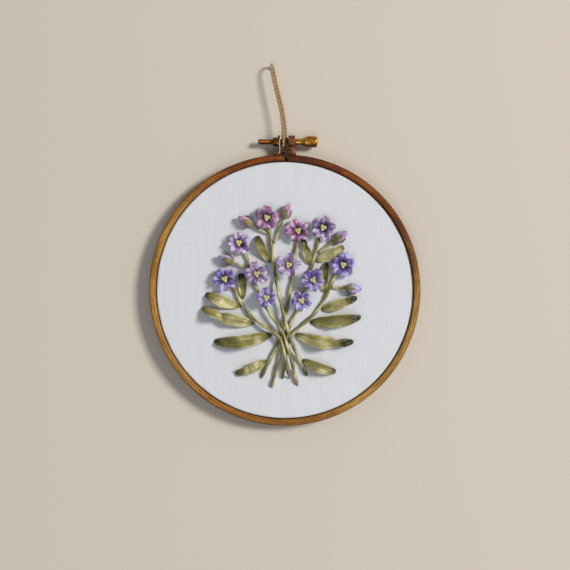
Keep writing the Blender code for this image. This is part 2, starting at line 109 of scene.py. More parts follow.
# %% Helpers for materials
def linear(hex_colour):
    """An sRGB hex colour as linear red, green, blue and alpha."""
    channels = [int(hex_colour[start : start + 2], 16) / 255 for start in (1, 3, 5)]
    straight = [c / 12.92 if c <= 0.04045 else ((c + 0.055) / 1.055) ** 2.4 for c in channels]
    return (*straight, 1.0)


def add_node(tree, kind, inputs, stops=(), **settings):
    """Add a shader node. An input is a value or another node's output, and stops fill a colour ramp."""
    node = tree.nodes.new(kind)
    for name, value in settings.items():
        setattr(node, name, value)
    for socket, value in inputs.items():
        if isinstance(value, bpy.types.NodeSocket):
            tree.links.new(value, node.inputs[socket])
        else:
            node.inputs[socket].default_value = value
    for index, (position, hex_colour) in enumerate(stops):
        ramp = node.color_ramp.elements
        stop = ramp[index] if index < 2 else ramp.new(position)
        stop.position = position
        stop.color = linear(hex_colour)
    return node


def new_material(name, **constants):
    """A material with one Principled shader, whose plain values are set on its own sockets."""
    made = bpy.data.materials.new(name)
    made.use_nodes = True
    shader = made.node_tree.nodes["Principled BSDF"]
    for socket, value in constants.items():
        shader.inputs[socket.replace("_", " ")].default_value = value
    return made, made.node_tree, shader


MIX_A = 6
MIX_B = 7
MIX_RESULT = 2
WAVE_RUN = math.pi / 10  # a wave texture of scale 1 repeats after this length

# %% [markdown]
# ## One way to shape thin things
#
# Ribbon, thread and twine are all a strip with a length and a width, so one helper serves them: a flat grid
# whose points are moved to where a function says. It writes a UV map in real millimetres, which lets a weave
# follow the strip wherever it turns, and a number for each point that says how dark the colour is there: how
# deeply the ribbon is coloured, together with painted shade and painted highlight.


# %% Helpers for meshes
def shaped_grid(bm, steps, place, spans, closed=False, shade=None, material=0):
    """Add a grid and move its points to place(along, across), both from 0 to 1. Closed makes it a tube."""
    uv = bm.loops.layers.uv.verify()
    # The shade layer holds how deeply the ribbon is coloured together with painted shade and painted
    # highlight.
    dye_and_shade = bm.verts.layers.float.get("shade") or bm.verts.layers.float.new("shade")
    grid = bmesh.ops.create_grid(bm, x_segments=steps[0], y_segments=steps[1], size=0.5)
    spots = {vert: (vert.co.x + 0.5, vert.co.y + 0.5) for vert in grid["verts"]}
    for face in dict.fromkeys(face for vert in spots for face in vert.link_faces):
        face.material_index = material
        for loop in face.loops:
            along, across = spots[loop.vert]
            loop[uv].uv = (along * spans[0], across * spans[1])
    for vert, (along, across) in spots.items():
        vert.co = place(along, across)
        vert[dye_and_shade] = shade(along, across) if shade else 0.0
    if closed:
        bmesh.ops.remove_doubles(bm, verts=list(spots), dist=0.001)
        kept = [vert for vert in spots if vert.is_valid]
        rims = dict.fromkeys(edge for vert in kept for edge in vert.link_edges if edge.is_boundary)
        bmesh.ops.holes_fill(bm, edges=list(rims), sides=0)


def add_piece(name, bm, materials, slot, nodes=(), sharp=50):
    """Turn a bmesh in millimetres into a piece of the object that stands for the named CAD nodes."""
    mesh = bpy.data.meshes.new(name)
    bm.to_mesh(mesh)
    bm.free()
    mesh.transform(TO_FRAME)
    mesh.shade_smooth()
    mesh.set_sharp_from_angle(angle=math.radians(sharp))
    for material in materials:
        mesh.materials.append(material)
    piece = bpy.data.objects.new(name, mesh)
    bpy.context.scene.collection.objects.link(piece)
    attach(piece, "root")
    if nodes:
        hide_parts(*nodes)
    return piece


def ease(share):
    """Runs from 0 to 1 without a corner at either end."""
    share = min(max(share, 0.0), 1.0)
    return share * share * (3 - 2 * share)


# %% [markdown]
# ## Routes
#
# A cord or a stem follows a route: a smooth curve through a few points, taken at even steps. At each step
# the section needs two directions across the route, and those are carried along from one step to the next
# so that the section never jumps round.


# %% Helpers for routes
def smooth_curve(points, steps):
    """Points on a smooth curve through the given ones, with a number of steps in each span."""
    points = [Vector(point) for point in points]
    ends = [2 * points[0] - points[1]] + points + [2 * points[-1] - points[-2]]
    curve = [points[0]]
    for before, start, end, after in zip(ends, ends[1:], ends[2:], ends[3:]):
        for step in range(1, steps + 1):
            t = step / steps
            lean = (end - before) * t + (2 * before - 5 * start + 4 * end - after) * t**2
            sway = (3 * start - before - 3 * end + after) * t**3
            curve.append(start + (lean + sway) / 2)
    return curve


def route_length(points):
    return sum((end - start).length for start, end in zip(points, points[1:]))


def evenly_spaced(curve, count):
    """A number of points at equal distances along a dense curve."""
    reach = [0.0]
    for start, end in zip(curve, curve[1:]):
        reach.append(reach[-1] + (end - start).length)
    chosen = []
    span = 0
    for index in range(count):
        wanted = reach[-1] * index / (count - 1)
        while span < len(curve) - 2 and reach[span + 1] < wanted:
            span += 1
        share = (wanted - reach[span]) / (reach[span + 1] - reach[span])
        chosen.append(curve[span].lerp(curve[span + 1], share))
    return chosen


def frames_along(route):
    """For each point of a route, the point and two directions across it that never jump."""
    up = Vector((0.0, 0.0, 1.0))
    frames = []
    for index, point in enumerate(route):
        ahead = route[min(index + 1, len(route) - 1)] - route[max(index - 1, 0)]
        side = ahead.cross(up).normalized()
        up = side.cross(ahead).normalized()
        frames.append((point, side, up))
    return frames


def add_tube(bm, route, steps_round, section, offset=None, **options):
    """Sweep a section along a route. section(along, angle) is its radius in millimetres, and
    offset(along) moves it off the route, as a strand of a twine is."""
    frames = frames_along(route)
    last = len(frames) - 1

    def place(along, across):
        point, side, up = frames[round(along * last)]
        angle = math.tau * across
        radius = section(along, angle)
        shift_side, shift_up = offset(along) if offset else (0.0, 0.0)
        across_side = side * (shift_side + radius * math.cos(angle))
        return point + across_side + up * (shift_up + radius * math.sin(angle))

    width = math.tau * section(0.5, 0.0)
    shaped_grid(bm, (last, steps_round), place, (route_length(route), width), closed=True, **options)


# %% [markdown]
# ## Jute twine
#
# The loop that the hoop hangs by is thin jute twine: two yarns of coarse plant fibre twisted together. It is
# dull and tan, and the fibres run at a slant round each yarn. Its material reads the UV map, so that the
# slant follows the yarn, and a noise drawn out along the fibres gives the streaks.


# %% Jute twine material
def twisted_fibre(name, colours, fibre_mm, slant):
    """Plant or cotton fibre that is spun into yarn: dull, with streaks that run at a slant."""
    made, tree, shader = new_material(name, Roughness=0.9, Sheen_Weight=0.15, Sheen_Roughness=0.5)
    flat = add_node(tree, "ShaderNodeTexCoord", {}).outputs["UV"]
    turned = add_node(tree, "ShaderNodeMapping", {"Vector": flat, "Rotation": (0.0, 0.0, slant)})
    drawn = add_node(
        tree,
        "ShaderNodeVectorMath",
        {0: turned.outputs[0], 1: (0.35, 1 / fibre_mm, 1.0)},
        operation="MULTIPLY",
    )
    streaks = add_node(tree, "ShaderNodeTexNoise", {"Vector": drawn.outputs[0], "Scale": 1.0, "Detail": 3.0})
    ramp = add_node(tree, "ShaderNodeValToRGB", {"Fac": streaks.outputs[0]}, stops=colours)
    bump = add_node(
        tree, "ShaderNodeBump", {"Strength": 0.8, "Distance": 0.00008, "Height": streaks.outputs[0]}
    )
    tree.links.new(ramp.outputs[0], shader.inputs["Base Color"])
    tree.links.new(bump.outputs[0], shader.inputs["Normal"])
    return made


JUTE = twisted_fibre("jute twine, twisted", ((0.3, "#6B5538"), (0.7, "#C6AA7B")), 0.12, 0.5)
# The knot's twine is coloured a dark red brown.
DARK_JUTE = twisted_fibre("jute twine, dark red brown", ((0.3, "#240E08"), (0.74, "#6A3726")), 0.12, 0.5)

# %% [markdown]
# ## The hanging loop
#
# One length of twine goes round the screw, out to the end of the loop and back, and both its ends are
# tied below the screw. Its two yarns are swept along the same route, each a little off the middle, and
# turn about each other as they go.

# %% Hanging loop
TWINE_PITCH = 3.4
YARN_RADIUS = 0.40
YARN_OFFSET = 0.28
TWINE_ROUTE = (
    (-0.65, 72.03, 5.35),
    (-0.65, 72.76, 6.32),
    (-0.65, 73.80, 6.86),
    (-0.65, 74.80, 6.95),
    (-0.62, 78.00, 6.95),
    (-0.95, 82.00, 6.95),
    (-1.65, 87.00, 6.90),
    (-2.60, 92.00, 6.80),
    (-3.85, 97.00, 6.65),
    (-5.05, 102.00, 6.45),
    (-6.10, 106.50, 6.25),
    (-6.68, 110.20, 6.10),
    (-6.85, 112.00, 5.70),
    (-6.80, 113.05, 4.75),
    (-6.45, 113.40, 3.40),
    (-6.05, 113.00, 2.05),
    (-5.75, 111.90, 1.05),
    (-5.35, 110.00, 0.72),
    (-4.60, 106.00, 0.70),
    (-3.62, 102.00, 0.70),
    (-2.38, 97.00, 0.70),
    (-1.15, 92.00, 0.72),
    (-0.30, 87.00, 0.85),
    (0.35, 82.00, 1.15),
    (0.60, 78.00, 1.45),
    (0.45, 74.80, 1.55),
    (0.35, 73.80, 1.64),
    (0.25, 72.76, 2.18),
    (0.20, 72.03, 3.15),
)


def add_twine(bm, route, yarn_radius, yarn_offset):
    """Two yarns that turn about each other along a route."""
    turns = route_length(route) / TWINE_PITCH
    for start in (0.0, math.pi):

        def offset(along, start=start):
            angle = start + math.tau * turns * along
            return yarn_offset * math.cos(angle), yarn_offset * math.sin(angle)

        add_tube(bm, route, 10, lambda along, angle: yarn_radius, offset)


loop_curve = smooth_curve(TWINE_ROUTE, 8)
LOOP_LENGTH = route_length(loop_curve)
loop_route = evenly_spaced(loop_curve, 300)
bm = bmesh.new()
add_twine(bm, loop_route, YARN_RADIUS, YARN_OFFSET)
hanging_loop = add_piece("hanging_loop_twine", bm, [JUTE], "jute_twine", ["hanging_loop"])
print("hanging loop:", round(LOOP_LENGTH, 1), "mm of twine")

# %% [markdown]
# ## Loose fibres
#
# Jute never looks clean: single fibres stand off the yarn. Each is a thin tapering hair with three sides
# and a gentle curve. They are sparse and short, because the twine in the photograph is a fairly neat one.

# %% Loose fibres
FIBRE_RADIUS = 0.03
FIBRE_COUNT = 90
dice = random.Random(23)


def add_fibre(bm, root, outward, ahead, length):
    """One hair that leaves its root outwards and bends the way the yarn runs."""
    middle = root + outward * length * 0.35 + ahead * length * 0.3
    tip = middle + outward * length * 0.2 + ahead * length * 0.45
    route = smooth_curve([root, middle, tip], 2)
    add_tube(bm, route, 3, lambda along, angle: FIBRE_RADIUS * (1.1 - along))


bm = bmesh.new()
loop_frames = frames_along(loop_route)
for index in range(FIBRE_COUNT):
    station = dice.randrange(20, len(loop_route) - 20)
    point, side, up = loop_frames[station]
    angle = dice.uniform(0.0, math.tau)
    outward = side * math.cos(angle) + up * math.sin(angle)
    ahead = (loop_route[station + 1] - loop_route[station]).normalized() * dice.choice((-1, 1))
    root = point + outward * YARN_OFFSET
    if (root + outward).z > 0.2:
        add_fibre(bm, root, outward, ahead, dice.uniform(0.7, 1.5))
loop_fibres = add_piece("hanging_loop_fibres", bm, [JUTE], "jute_twine")
print("loose fibres:", FIBRE_COUNT)

# %% [markdown]
# ## The knot
#
# Below the screw the twine's ends are wound three times, pulled tight and tied off in front. Here the turns
# are a coil that is swept as the loop was, with thinner yarns because they are squeezed, one more turn goes
# round the screw, and the tie is a trefoil, the curve of a plain overhand knot. The knot's twine is coloured a
# dark red brown, and the knot is a tangle with frayed ends, with one pale thread of the cloth's cotton left
# hanging at its side.

# %% Knot
KNOT_MIDDLE = Vector((-0.4, 69.85, HOOP_DEPTH / 2))
KNOT_RADIUS = 1.05
KNOT_TURNS = 3
KNOT_PITCH = 0.92
COTTON_THREAD = twisted_fibre("cotton thread, spun", ((0.3, "#C9BFAE"), (0.7, "#EFE9DD")), 0.08, 0.5)


def coil_point(share):
    """A point of the knot's coil, from its top turn to its bottom one."""
    angle = math.tau * KNOT_TURNS * share + 1.9
    inwards = 1.0 - 0.75 * max(ease(1 - share * 9), ease((share - 0.9) * 10))
    drop = KNOT_PITCH * KNOT_TURNS * (0.5 - share)
    swing = Vector((math.cos(angle), 0.0, math.sin(angle))) * KNOT_RADIUS * inwards
    return KNOT_MIDDLE + swing + Vector((0.0, drop, 0.0))


TIE_MIDDLE = Vector((0.7, 69.75, 7.05))
TIE_SCALE = Matrix.Diagonal((0.80, 0.62, 0.62))


def tie_point(share):
    """A point of the overhand tie in front of the coil."""
    angle = math.tau * share + 0.6
    x = math.sin(angle) + 2 * math.sin(2 * angle)
    y = math.cos(angle) - 2 * math.cos(2 * angle)
    return TIE_MIDDLE + TIE_SCALE @ Vector((x, y, -math.sin(3 * angle)))


bm = bmesh.new()
coil_route = evenly_spaced([coil_point(step / 120) for step in range(121)], 110)
add_twine(bm, coil_route, 0.31, 0.22)
tie_route = evenly_spaced([tie_point(step / 120 * 0.96) for step in range(121)], 120)
add_twine(bm, tie_route, 0.30, 0.22)
loop_knot = add_piece("loop_knot_coil", bm, [DARK_JUTE], "jute_twine", ["loop_knot"])

KNOT_ENDS = (
    ((-0.9, 69.3, 7.0), (-1.7, 68.9, 7.6), (-2.8, 68.1, 8.3), (-4.3, 67.3, 8.85)),
    ((0.4, 68.3, 7.2), (0.3, 67.7, 8.3), (0.6, 66.9, 9.0), (1.3, 66.2, 8.95)),
    ((2.2, 69.0, 7.4), (2.9, 68.5, 8.1), (3.5, 67.8, 8.8), (4.4, 67.1, 8.95)),
)
bm = bmesh.new()
for points in KNOT_ENDS:
    end_route = smooth_curve(points, 8)
    add_tube(bm, end_route, 8, lambda along, angle: 0.34 * (1 - 0.45 * along))
    for hair in range(7):
        spread = Vector((dice.uniform(-0.7, 0.2), dice.uniform(-0.7, 0.5), dice.uniform(-0.15, 0.35)))
        start = end_route[-6]
        tip = end_route[-1] + spread
        hair_route = smooth_curve([start, start.lerp(tip, 0.55), tip], 3)
        add_tube(bm, hair_route, 4, lambda along, angle: 0.11 * (1.1 - along))
knot_ends = add_piece("loop_knot_ends", bm, [DARK_JUTE], "jute_twine")

TURN_POINTS = (
    (0.70, 70.70, 6.75),
    (0.85, 72.20, 6.55),
    (0.95, 73.60, 6.30),
    (1.00, 74.90, 6.15),
    (1.00, 76.00, 5.60),
    (1.00, 76.45, 4.40),
    (1.00, 76.05, 3.15),
    (0.95, 75.20, 2.52),
    (0.95, 74.20, 2.48),
    (0.90, 73.20, 2.90),
    (0.85, 72.40, 3.70),
    (0.80, 71.60, 4.50),
    (0.60, 70.90, 4.90),
)
turn_route = evenly_spaced(smooth_curve(TURN_POINTS, 8), 90)
bm = bmesh.new()
add_twine(bm, turn_route, 0.31, 0.23)
knot_turn = add_piece("loop_knot_turn", bm, [DARK_JUTE], "jute_twine")

bm = bmesh.new()
thread_points = (
    (-1.10, 76.60, 5.60),
    (-1.90, 76.40, 6.90),
    (-2.45, 75.60, 7.75),
    (-2.60, 74.00, 7.85),
    (-2.60, 72.30, 7.30),
    (-2.50, 70.60, 6.90),
    (-2.60, 69.00, 7.60),
    (-3.10, 67.80, 8.70),
)
add_tube(bm, smooth_curve(thread_points, 6), 8, lambda along, angle: 0.14)
knot_thread = add_piece("loop_knot_thread", bm, [COTTON_THREAD], "jute_twine")

path = [TO_FRAME @ point for point in loop_route]
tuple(path[0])
print("knot:", KNOT_TURNS, "turns")

# %% [markdown]
# ## The table and the light
#
# The floor is plain and pale. One large soft light from the right and a little above throws the short
# shadows to the left that the photograph shows, a weak one fills them, and a grey sky does the rest. The
# standard view transform keeps the colours as they are written.

# %% Floor, light and sky
FLOOR_SIDE = 4.0


def add_light(name, place, size, power, hex_colour):
    """A square area light that faces the middle of the hoop."""
    data = bpy.data.lights.new(name, "AREA")
    data.size = size
    data.energy = power
    data.color = linear(hex_colour)[:3]
    light = bpy.data.objects.new(name, data)
    light.location = place
    towards = HOOP_MIDDLE - light.location
    light.rotation_euler = towards.to_track_quat("-Z", "Y").to_euler()
    bpy.context.scene.collection.objects.link(light)


floor_material, tree, shader = new_material("matt painted board", Roughness=0.9)
shader.inputs["Base Color"].default_value = linear("#C6BFB5")
bm = bmesh.new()
bmesh.ops.create_grid(bm, x_segments=1, y_segments=1, size=FLOOR_SIDE / 2)
mesh = bpy.data.meshes.new("floor")
bm.to_mesh(mesh)
bm.free()
mesh.materials.append(floor_material)
floor = bpy.data.objects.new("floor", mesh)
bpy.context.scene.collection.objects.link(floor)

add_light("key light", (1.95, 0.75, 1.95), 0.69, 81.0, "#FFF9F0")
add_light("fill light", (-0.12, -0.62, 1.15), 0.50, 2.6, "#F2F5FF")
sky = bpy.data.worlds.new("studio")
sky.use_nodes = True
sky.node_tree.nodes["Background"].inputs["Color"].default_value = linear("#ECEAE6")
sky.node_tree.nodes["Background"].inputs["Strength"].default_value = 0.36
bpy.context.scene.world = sky
bpy.context.scene.view_settings.view_transform = "Standard"
print("stage is set")

# %% [markdown]
# ## Stained wood
# Both rings are strips of bamboo or beech, bent with steam and stained. The grain runs round the ring with
# them, so the material first works out how far round the ring a point is and how far from its middle, and
# draws its noise out along that. A ramp round the ring colours it nearly black brown by the clamp, honey at
# the left and bottom and tan at the right: partly stain that has gone on unevenly, and partly painted light
# and shade from how the light falls round the ring. The edges are darkened too, partly stain and partly
# painted shade. The seam of the angle is at the top, where the outer ring is cut through anyway.

# %% Stained wood material
GRAIN_LENGTH = 11.0 * MM
GRAIN_WIDTH = 0.40 * MM
PORE_LENGTH = 2.2 * MM
PORE_WIDTH = 0.16 * MM
# The wood is darker at the outer edge and on the inner wall, partly a deeper stain and partly painted shade
# where these edges take less light: where that starts in millimetres from the middle, over what width it comes
# on, and how strong it is.
EDGE_STAIN_AND_SHADE = (
    (HOOP_RADIUS, 0.8, 0.65),
    (HOOP_RADIUS - HOOP_WALL + 0.1, -0.3, 0.45),
)


def stained_wood(name, stain_and_light):
    """Bent wood with its grain along the ring, under a satin finish. Its ramp colours it round the ring, from
    the top by the right to the bottom and back by the left, with uneven staining and, on the outer ring,
    painted light and shade. Its edges are darkened, partly by staining and partly as painted shade."""
    made, tree, shader = new_material(name, Specular_IOR_Level=0.2, Coat_Weight=0.04, Coat_Roughness=0.3)
    place = add_node(tree, "ShaderNodeTexCoord", {}).outputs["Object"]
    centred = add_node(
        tree, "ShaderNodeVectorMath", {0: place, 1: tuple(HOOP_MIDDLE)}, operation="SUBTRACT"
    ).outputs[0]
    level = add_node(
        tree, "ShaderNodeVectorMath", {0: centred, 1: (1.0, 1.0, 0.0)}, operation="MULTIPLY"
    ).outputs[0]
    radius = add_node(tree, "ShaderNodeVectorMath", {0: level}, operation="LENGTH").outputs["Value"]
    turned = add_node(
        tree, "ShaderNodeVectorMath", {0: centred, 1: (-1.0, -1.0, 1.0)}, operation="MULTIPLY"
    ).outputs[0]
    parts = add_node(tree, "ShaderNodeSeparateXYZ", {0: turned}).outputs
    angle = add_node(tree, "ShaderNodeMath", {0: parts[0], 1: parts[1]}, operation="ARCTAN2").outputs[0]
    mean_radius = (HOOP_RADIUS - HOOP_WALL / 2) * MM
    arc = add_node(tree, "ShaderNodeMath", {0: angle, 1: mean_radius}, operation="MULTIPLY").outputs[0]
    along = add_node(tree, "ShaderNodeCombineXYZ", {0: arc, 1: radius, 2: parts[2]}).outputs[0]

    def drawn_noise(length, width, detail):
        sizes = (1 / length, 1 / width, 1 / width)
        drawn = add_node(tree, "ShaderNodeVectorMath", {0: along, 1: sizes}, operation="MULTIPLY")
        inputs = {"Vector": drawn.outputs[0], "Scale": 1.0, "Detail": detail, "Roughness": 0.6}
        return add_node(tree, "ShaderNodeTexNoise", inputs).outputs[0]

    grain = drawn_noise(GRAIN_LENGTH, GRAIN_WIDTH, 3.0)
    pores = drawn_noise(PORE_LENGTH, PORE_WIDTH, 1.0)
    patches = drawn_noise(6 * MM, 4 * MM, 3.0)
    share = add_node(
        tree, "ShaderNodeMapRange", {"Value": angle, "From Min": -math.pi, "From Max": math.pi}
    ).outputs[0]
    wander = add_node(tree, "ShaderNodeMath", {0: patches, 1: 0.12, 2: -0.06}, operation="MULTIPLY_ADD")
    where = add_node(tree, "ShaderNodeMath", {0: share, 1: wander.outputs[0]}, operation="ADD").outputs[0]
    # The ramp round the ring: uneven stain, and on the outer ring painted light and shade too.
    tint = add_node(tree, "ShaderNodeValToRGB", {"Fac": where}, stops=stain_and_light).outputs[0]
    streak = add_node(
        tree, "ShaderNodeValToRGB", {"Fac": grain}, stops=((0.34, "#8C7A6C"), (0.62, "#FFFFFF"))
    ).outputs[0]
    grained = add_node(
        tree,
        "ShaderNodeMix",
        {0: 0.85, MIX_A: tint, MIX_B: streak},
        data_type="RGBA",
        blend_type="MULTIPLY",
    ).outputs[MIX_RESULT]
    pore_mask = add_node(
        tree, "ShaderNodeMapRange", {"Value": pores, "From Min": 0.64, "From Max": 0.72, "To Max": 0.7}
    ).outputs[0]
    pitted = add_node(
        tree,
        "ShaderNodeMix",
        {0: pore_mask, MIX_A: grained, MIX_B: linear("#2A160B")},
        data_type="RGBA",
    ).outputs[MIX_RESULT]
    edged = pitted
    # Darken the outer edge and the inner wall: partly stain, partly painted shade.
    for edge, depth, share in EDGE_STAIN_AND_SHADE:
        mask = add_node(
            tree,
            "ShaderNodeMapRange",
            {"Value": radius, "From Min": (edge - depth) * MM, "From Max": edge * MM, "To Max": share},
        ).outputs[0]
        edged = add_node(
            tree, "ShaderNodeMix", {0: mask, MIX_A: edged, MIX_B: linear("#2B1409")}, data_type="RGBA"
        ).outputs[MIX_RESULT]
    gloss = add_node(
        tree, "ShaderNodeMapRange", {"Value": grain, "To Min": 0.38, "To Max": 0.62}
    ).outputs[0]
    bump = add_node(tree, "ShaderNodeBump", {"Strength": 0.5, "Distance": 0.06 * MM, "Height": grain})
    tree.links.new(edged, shader.inputs["Base Color"])
    tree.links.new(gloss, shader.inputs["Roughness"])
    tree.links.new(bump.outputs[0], shader.inputs["Normal"])
    return made


CLAMP_BROWN = "#562405"
RUSSET = "#8C4A0F"
WALNUT = "#693508"
AMBER = "#966223"
HONEY = "#B5893F"
TAN = "#B68D4A"
# Round the outer ring from the top by the right: uneven stain with painted light and shade, darkest by the
# clamp.
OUTER_STAIN_AND_LIGHT = (
    (0.0, CLAMP_BROWN),
    (1.0, CLAMP_BROWN),
    (0.055, "#6A350B"),
    (0.09, "#94500F"),
    (0.17, WALNUT),
    (0.27, "#AC803E"),
    (0.32, TAN),
    (0.36, "#A77B3B"),
    (0.40, "#C0964F"),
    (0.45, "#9E702F"),
    (0.52, AMBER),
    (0.60, "#A57430"),
    (0.65, HONEY),
    (0.69, "#A9742C"),
    (0.73, "#B98C40"),
    (0.78, "#A8722B"),
    (0.82, "#BE9042"),
    (0.86, "#B18138"),
    (0.925, RUSSET),
    (0.945, "#6F3A0B"),
    (0.97, RUSSET),
)
INNER_STAIN = ((0.0, "#93642F"), (1.0, "#A37338"))
OUTER_WOOD = stained_wood("bent beech, stained and waxed", OUTER_STAIN_AND_LIGHT)
INNER_WOOD = stained_wood("bent beech, lightly stained", INNER_STAIN)

# %% [markdown]
# ## The two rings
#
# A ring is a section turned round an axis. The section starts as a single square face, its corners are
# bevelled to the worn arrises that the photograph shows, and spin turns it. The outer ring starts at one
# side of its cut and stops at the other, so its two ends are filled. The inner ring is turned all the way
# and merged. It carries the cloth, which hides it from the front.


# %% Rings
def add_section(bm, inside, outside, depth, front_arris, back_arris):
    """The outline of a ring's section, a rectangle in the XZ plane with rounded corners."""
    bmesh.ops.create_grid(bm, x_segments=1, y_segments=1, size=0.5)
    bmesh.ops.scale(bm, vec=(outside - inside, depth, 1.0), verts=bm.verts)
    bmesh.ops.rotate(bm, matrix=Matrix.Rotation(math.pi / 2, 3, "X"), verts=bm.verts)
    bmesh.ops.translate(bm, vec=((inside + outside) / 2, 0.0, depth / 2), verts=bm.verts)
    front = [vert for vert in bm.verts if vert.co.z > depth / 2]
    bmesh.ops.bevel(
        bm, geom=front, offset=front_arris, segments=6, profile=0.5, affect="VERTICES", material=-1
    )
    back = [vert for vert in bm.verts if vert.co.z < 0.01]
    bmesh.ops.bevel(
        bm, geom=back, offset=back_arris, segments=3, profile=0.5, affect="VERTICES", material=-1
    )
    bmesh.ops.delete(bm, geom=bm.faces[:], context="FACES_ONLY")


def spin_ring(bm, start, sweep, steps, whole):
    """Turn the outline round Z from one angle by another, both in radians."""
    bmesh.ops.rotate(bm, matrix=Matrix.Rotation(start, 3, "Z"), verts=bm.verts)
    bmesh.ops.spin(
        bm,
        geom=bm.verts[:] + bm.edges[:],
        cent=(0.0, 0.0, 0.0),
        axis=(0.0, 0.0, 1.0),
        angle=sweep,
        steps=steps,
        use_merge=whole,
    )


SPLIT_LEFT = 0.0
SPLIT_RIGHT = 1.1
ring_middle = HOOP_RADIUS - HOOP_WALL / 2
split_start = math.atan2(ring_middle, SPLIT_LEFT)
split_end = math.atan2(ring_middle, SPLIT_RIGHT)

bm = bmesh.new()
add_section(bm, HOOP_RADIUS - HOOP_WALL, HOOP_RADIUS, HOOP_DEPTH, 0.8, 0.4)
spin_ring(bm, split_start, math.tau - (split_start - split_end), 240, False)
cut_edges = [edge for edge in bm.edges if edge.is_boundary]
bmesh.ops.holes_fill(bm, edges=cut_edges, sides=0)
bmesh.ops.bevel(
    bm, geom=cut_edges, offset=0.2, segments=2, profile=0.5, affect="EDGES", material=-1
)
bmesh.ops.recalc_face_normals(bm, faces=bm.faces)
outer_ring = add_piece("outer_hoop_ring", bm, [OUTER_WOOD], "hoop_wood", ["outer_hoop"])

CLOTH_THICKNESS = 0.35
inner_outside = CLOTH_RADIUS - CLOTH_THICKNESS - 0.1
inner_depth = CLOTH_TOP - CLOTH_THICKNESS - 0.1
bm = bmesh.new()
add_section(bm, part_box("inner_hoop")[1].x / MM - 3.7, inner_outside, inner_depth, 0.7, 0.4)
spin_ring(bm, 0.0, math.tau, 240, True)
bmesh.ops.recalc_face_normals(bm, faces=bm.faces)
inner_ring = add_piece("inner_hoop_ring", bm, [INNER_WOOD], "hoop_wood", ["inner_hoop"])
print("rings:", len(outer_ring.data.polygons), "and", len(inner_ring.data.polygons), "faces")

# %% [markdown]
# ## Brass
#
# The screw is turned brass that has been handled for years: warm gold, soft highlights, and a brown bloom in
# patches. The lugs have darkened all over, apart from the barrel, which is browned like the rod. A metal takes
# its look from what it reflects, so roughness matters more than colour. A noise varies both, and a fine bump
# leaves the lines of the turning, drawn a little coarser than real so that they show.


# %% Brass material
def old_metal(name, bright, tarnish, tarnish_from, rough):
    """Turned brass with a bloom of tarnish where a noise is above tarnish_from."""
    made, tree, shader = new_material(name, Metallic=1.0)
    place = add_node(tree, "ShaderNodeTexCoord", {}).outputs["Object"]
    patches = add_node(
        tree, "ShaderNodeTexNoise", {"Vector": place, "Scale": 1 / (2.5 * MM), "Detail": 4.0}
    ).outputs[0]
    bloom = add_node(
        tree,
        "ShaderNodeMapRange",
        {"Value": patches, "From Min": tarnish_from, "From Max": tarnish_from + 0.22},
    ).outputs[0]
    colour = add_node(
        tree,
        "ShaderNodeMix",
        {0: bloom, MIX_A: linear(bright), MIX_B: linear(tarnish)},
        data_type="RGBA",
    ).outputs[MIX_RESULT]
    gloss = add_node(
        tree, "ShaderNodeMapRange", {"Value": bloom, "To Min": rough, "To Max": rough + 0.25}
    ).outputs[0]
    lines = add_node(
        tree, "ShaderNodeVectorMath", {0: place, 1: (1 / (0.12 * MM), 400.0, 400.0)}, operation="MULTIPLY"
    )
    turning = add_node(
        tree, "ShaderNodeTexNoise", {"Vector": lines.outputs[0], "Scale": 1.0, "Detail": 2.0}
    ).outputs[0]
    bump = add_node(tree, "ShaderNodeBump", {"Strength": 0.2, "Distance": 0.02 * MM, "Height": turning})
    tree.links.new(colour, shader.inputs["Base Color"])
    tree.links.new(gloss, shader.inputs["Roughness"])
    tree.links.new(bump.outputs[0], shader.inputs["Normal"])
    return made


BRASS = old_metal("brass, turned and worn", "#D3A250", "#93692F", 0.52, 0.27)
MILLED_BRASS = old_metal("brass, milled and browned by fingers", "#B78238", "#7A4A1E", 0.46, 0.38)
BROWN_BRASS = old_metal("brass, browned", "#8C5C2C", "#4E2C14", 0.45, 0.34)
DARK_BRASS = old_metal("brass, darkened", "#97633F", "#46261A", 0.46, 0.40)

# %% [markdown]
# ## The lugs
#
# A lug is a plate with a round end that the screw passes through, and a foot against the outer ring. The
# left one is a thin plate with a brass barrel for the thread beside it, and the right one is folded thick.
# Plain solids are put together and the bore is cut with one boolean, which merges them too. A narrow bevel
# then rounds every edge, because no filed metal edge is sharp. The barrel is the brighter metal, so its
# faces get a material of their own.

# %% Lugs
SCREW_Y = HOOP_RADIUS + 6.8
SCREW_Z = HOOP_DEPTH / 2
LUG_PLATE_RADIUS = 3.2
LUG_BARREL_RADIUS = 2.2
LUG_BORE_RADIUS = 1.65
LUG_NECK_DEPTH = 3.4
LUG_FOOT_DEPTH = 6.4
LUG_FOOT_THICKNESS = 0.8
Lug = namedtuple("Lug", "name plate_from plate_to barrel_from foot_from foot_to slot")
LUGS = (
    Lug("lug_left", -3.5, -2.4, -5.9, -5.4, -2.4, "brass_fittings"),
    Lug("lug_right", 1.75, 5.1, None, 1.75, 5.7, "dark_fittings"),
)


def add_cylinder(bm, radius, start, end):
    """A capped cylinder along the screw's axis, from one place to another."""
    middle = Vector(((start + end) / 2, SCREW_Y, SCREW_Z))
    turn = Matrix.Translation(middle) @ Matrix.Rotation(math.pi / 2, 4, "Y")
    bmesh.ops.create_cone(
        bm, cap_ends=True, segments=56, radius1=radius, radius2=radius, depth=end - start, matrix=turn
    )


def add_block(bm, size, place):
    """A box of a size at a place, both in millimetres."""
    block = bmesh.ops.create_cube(bm, size=1.0)["verts"]
    bmesh.ops.scale(bm, vec=size, verts=block)
    bmesh.ops.translate(bm, vec=place, verts=block)


def rough_object(name, bm):
    """A helper object that is removed again, still in millimetres."""
    mesh = bpy.data.meshes.new(name)
    bm.to_mesh(mesh)
    bm.free()
    made = bpy.data.objects.new(name, mesh)
    bpy.context.scene.collection.objects.link(made)
    return made


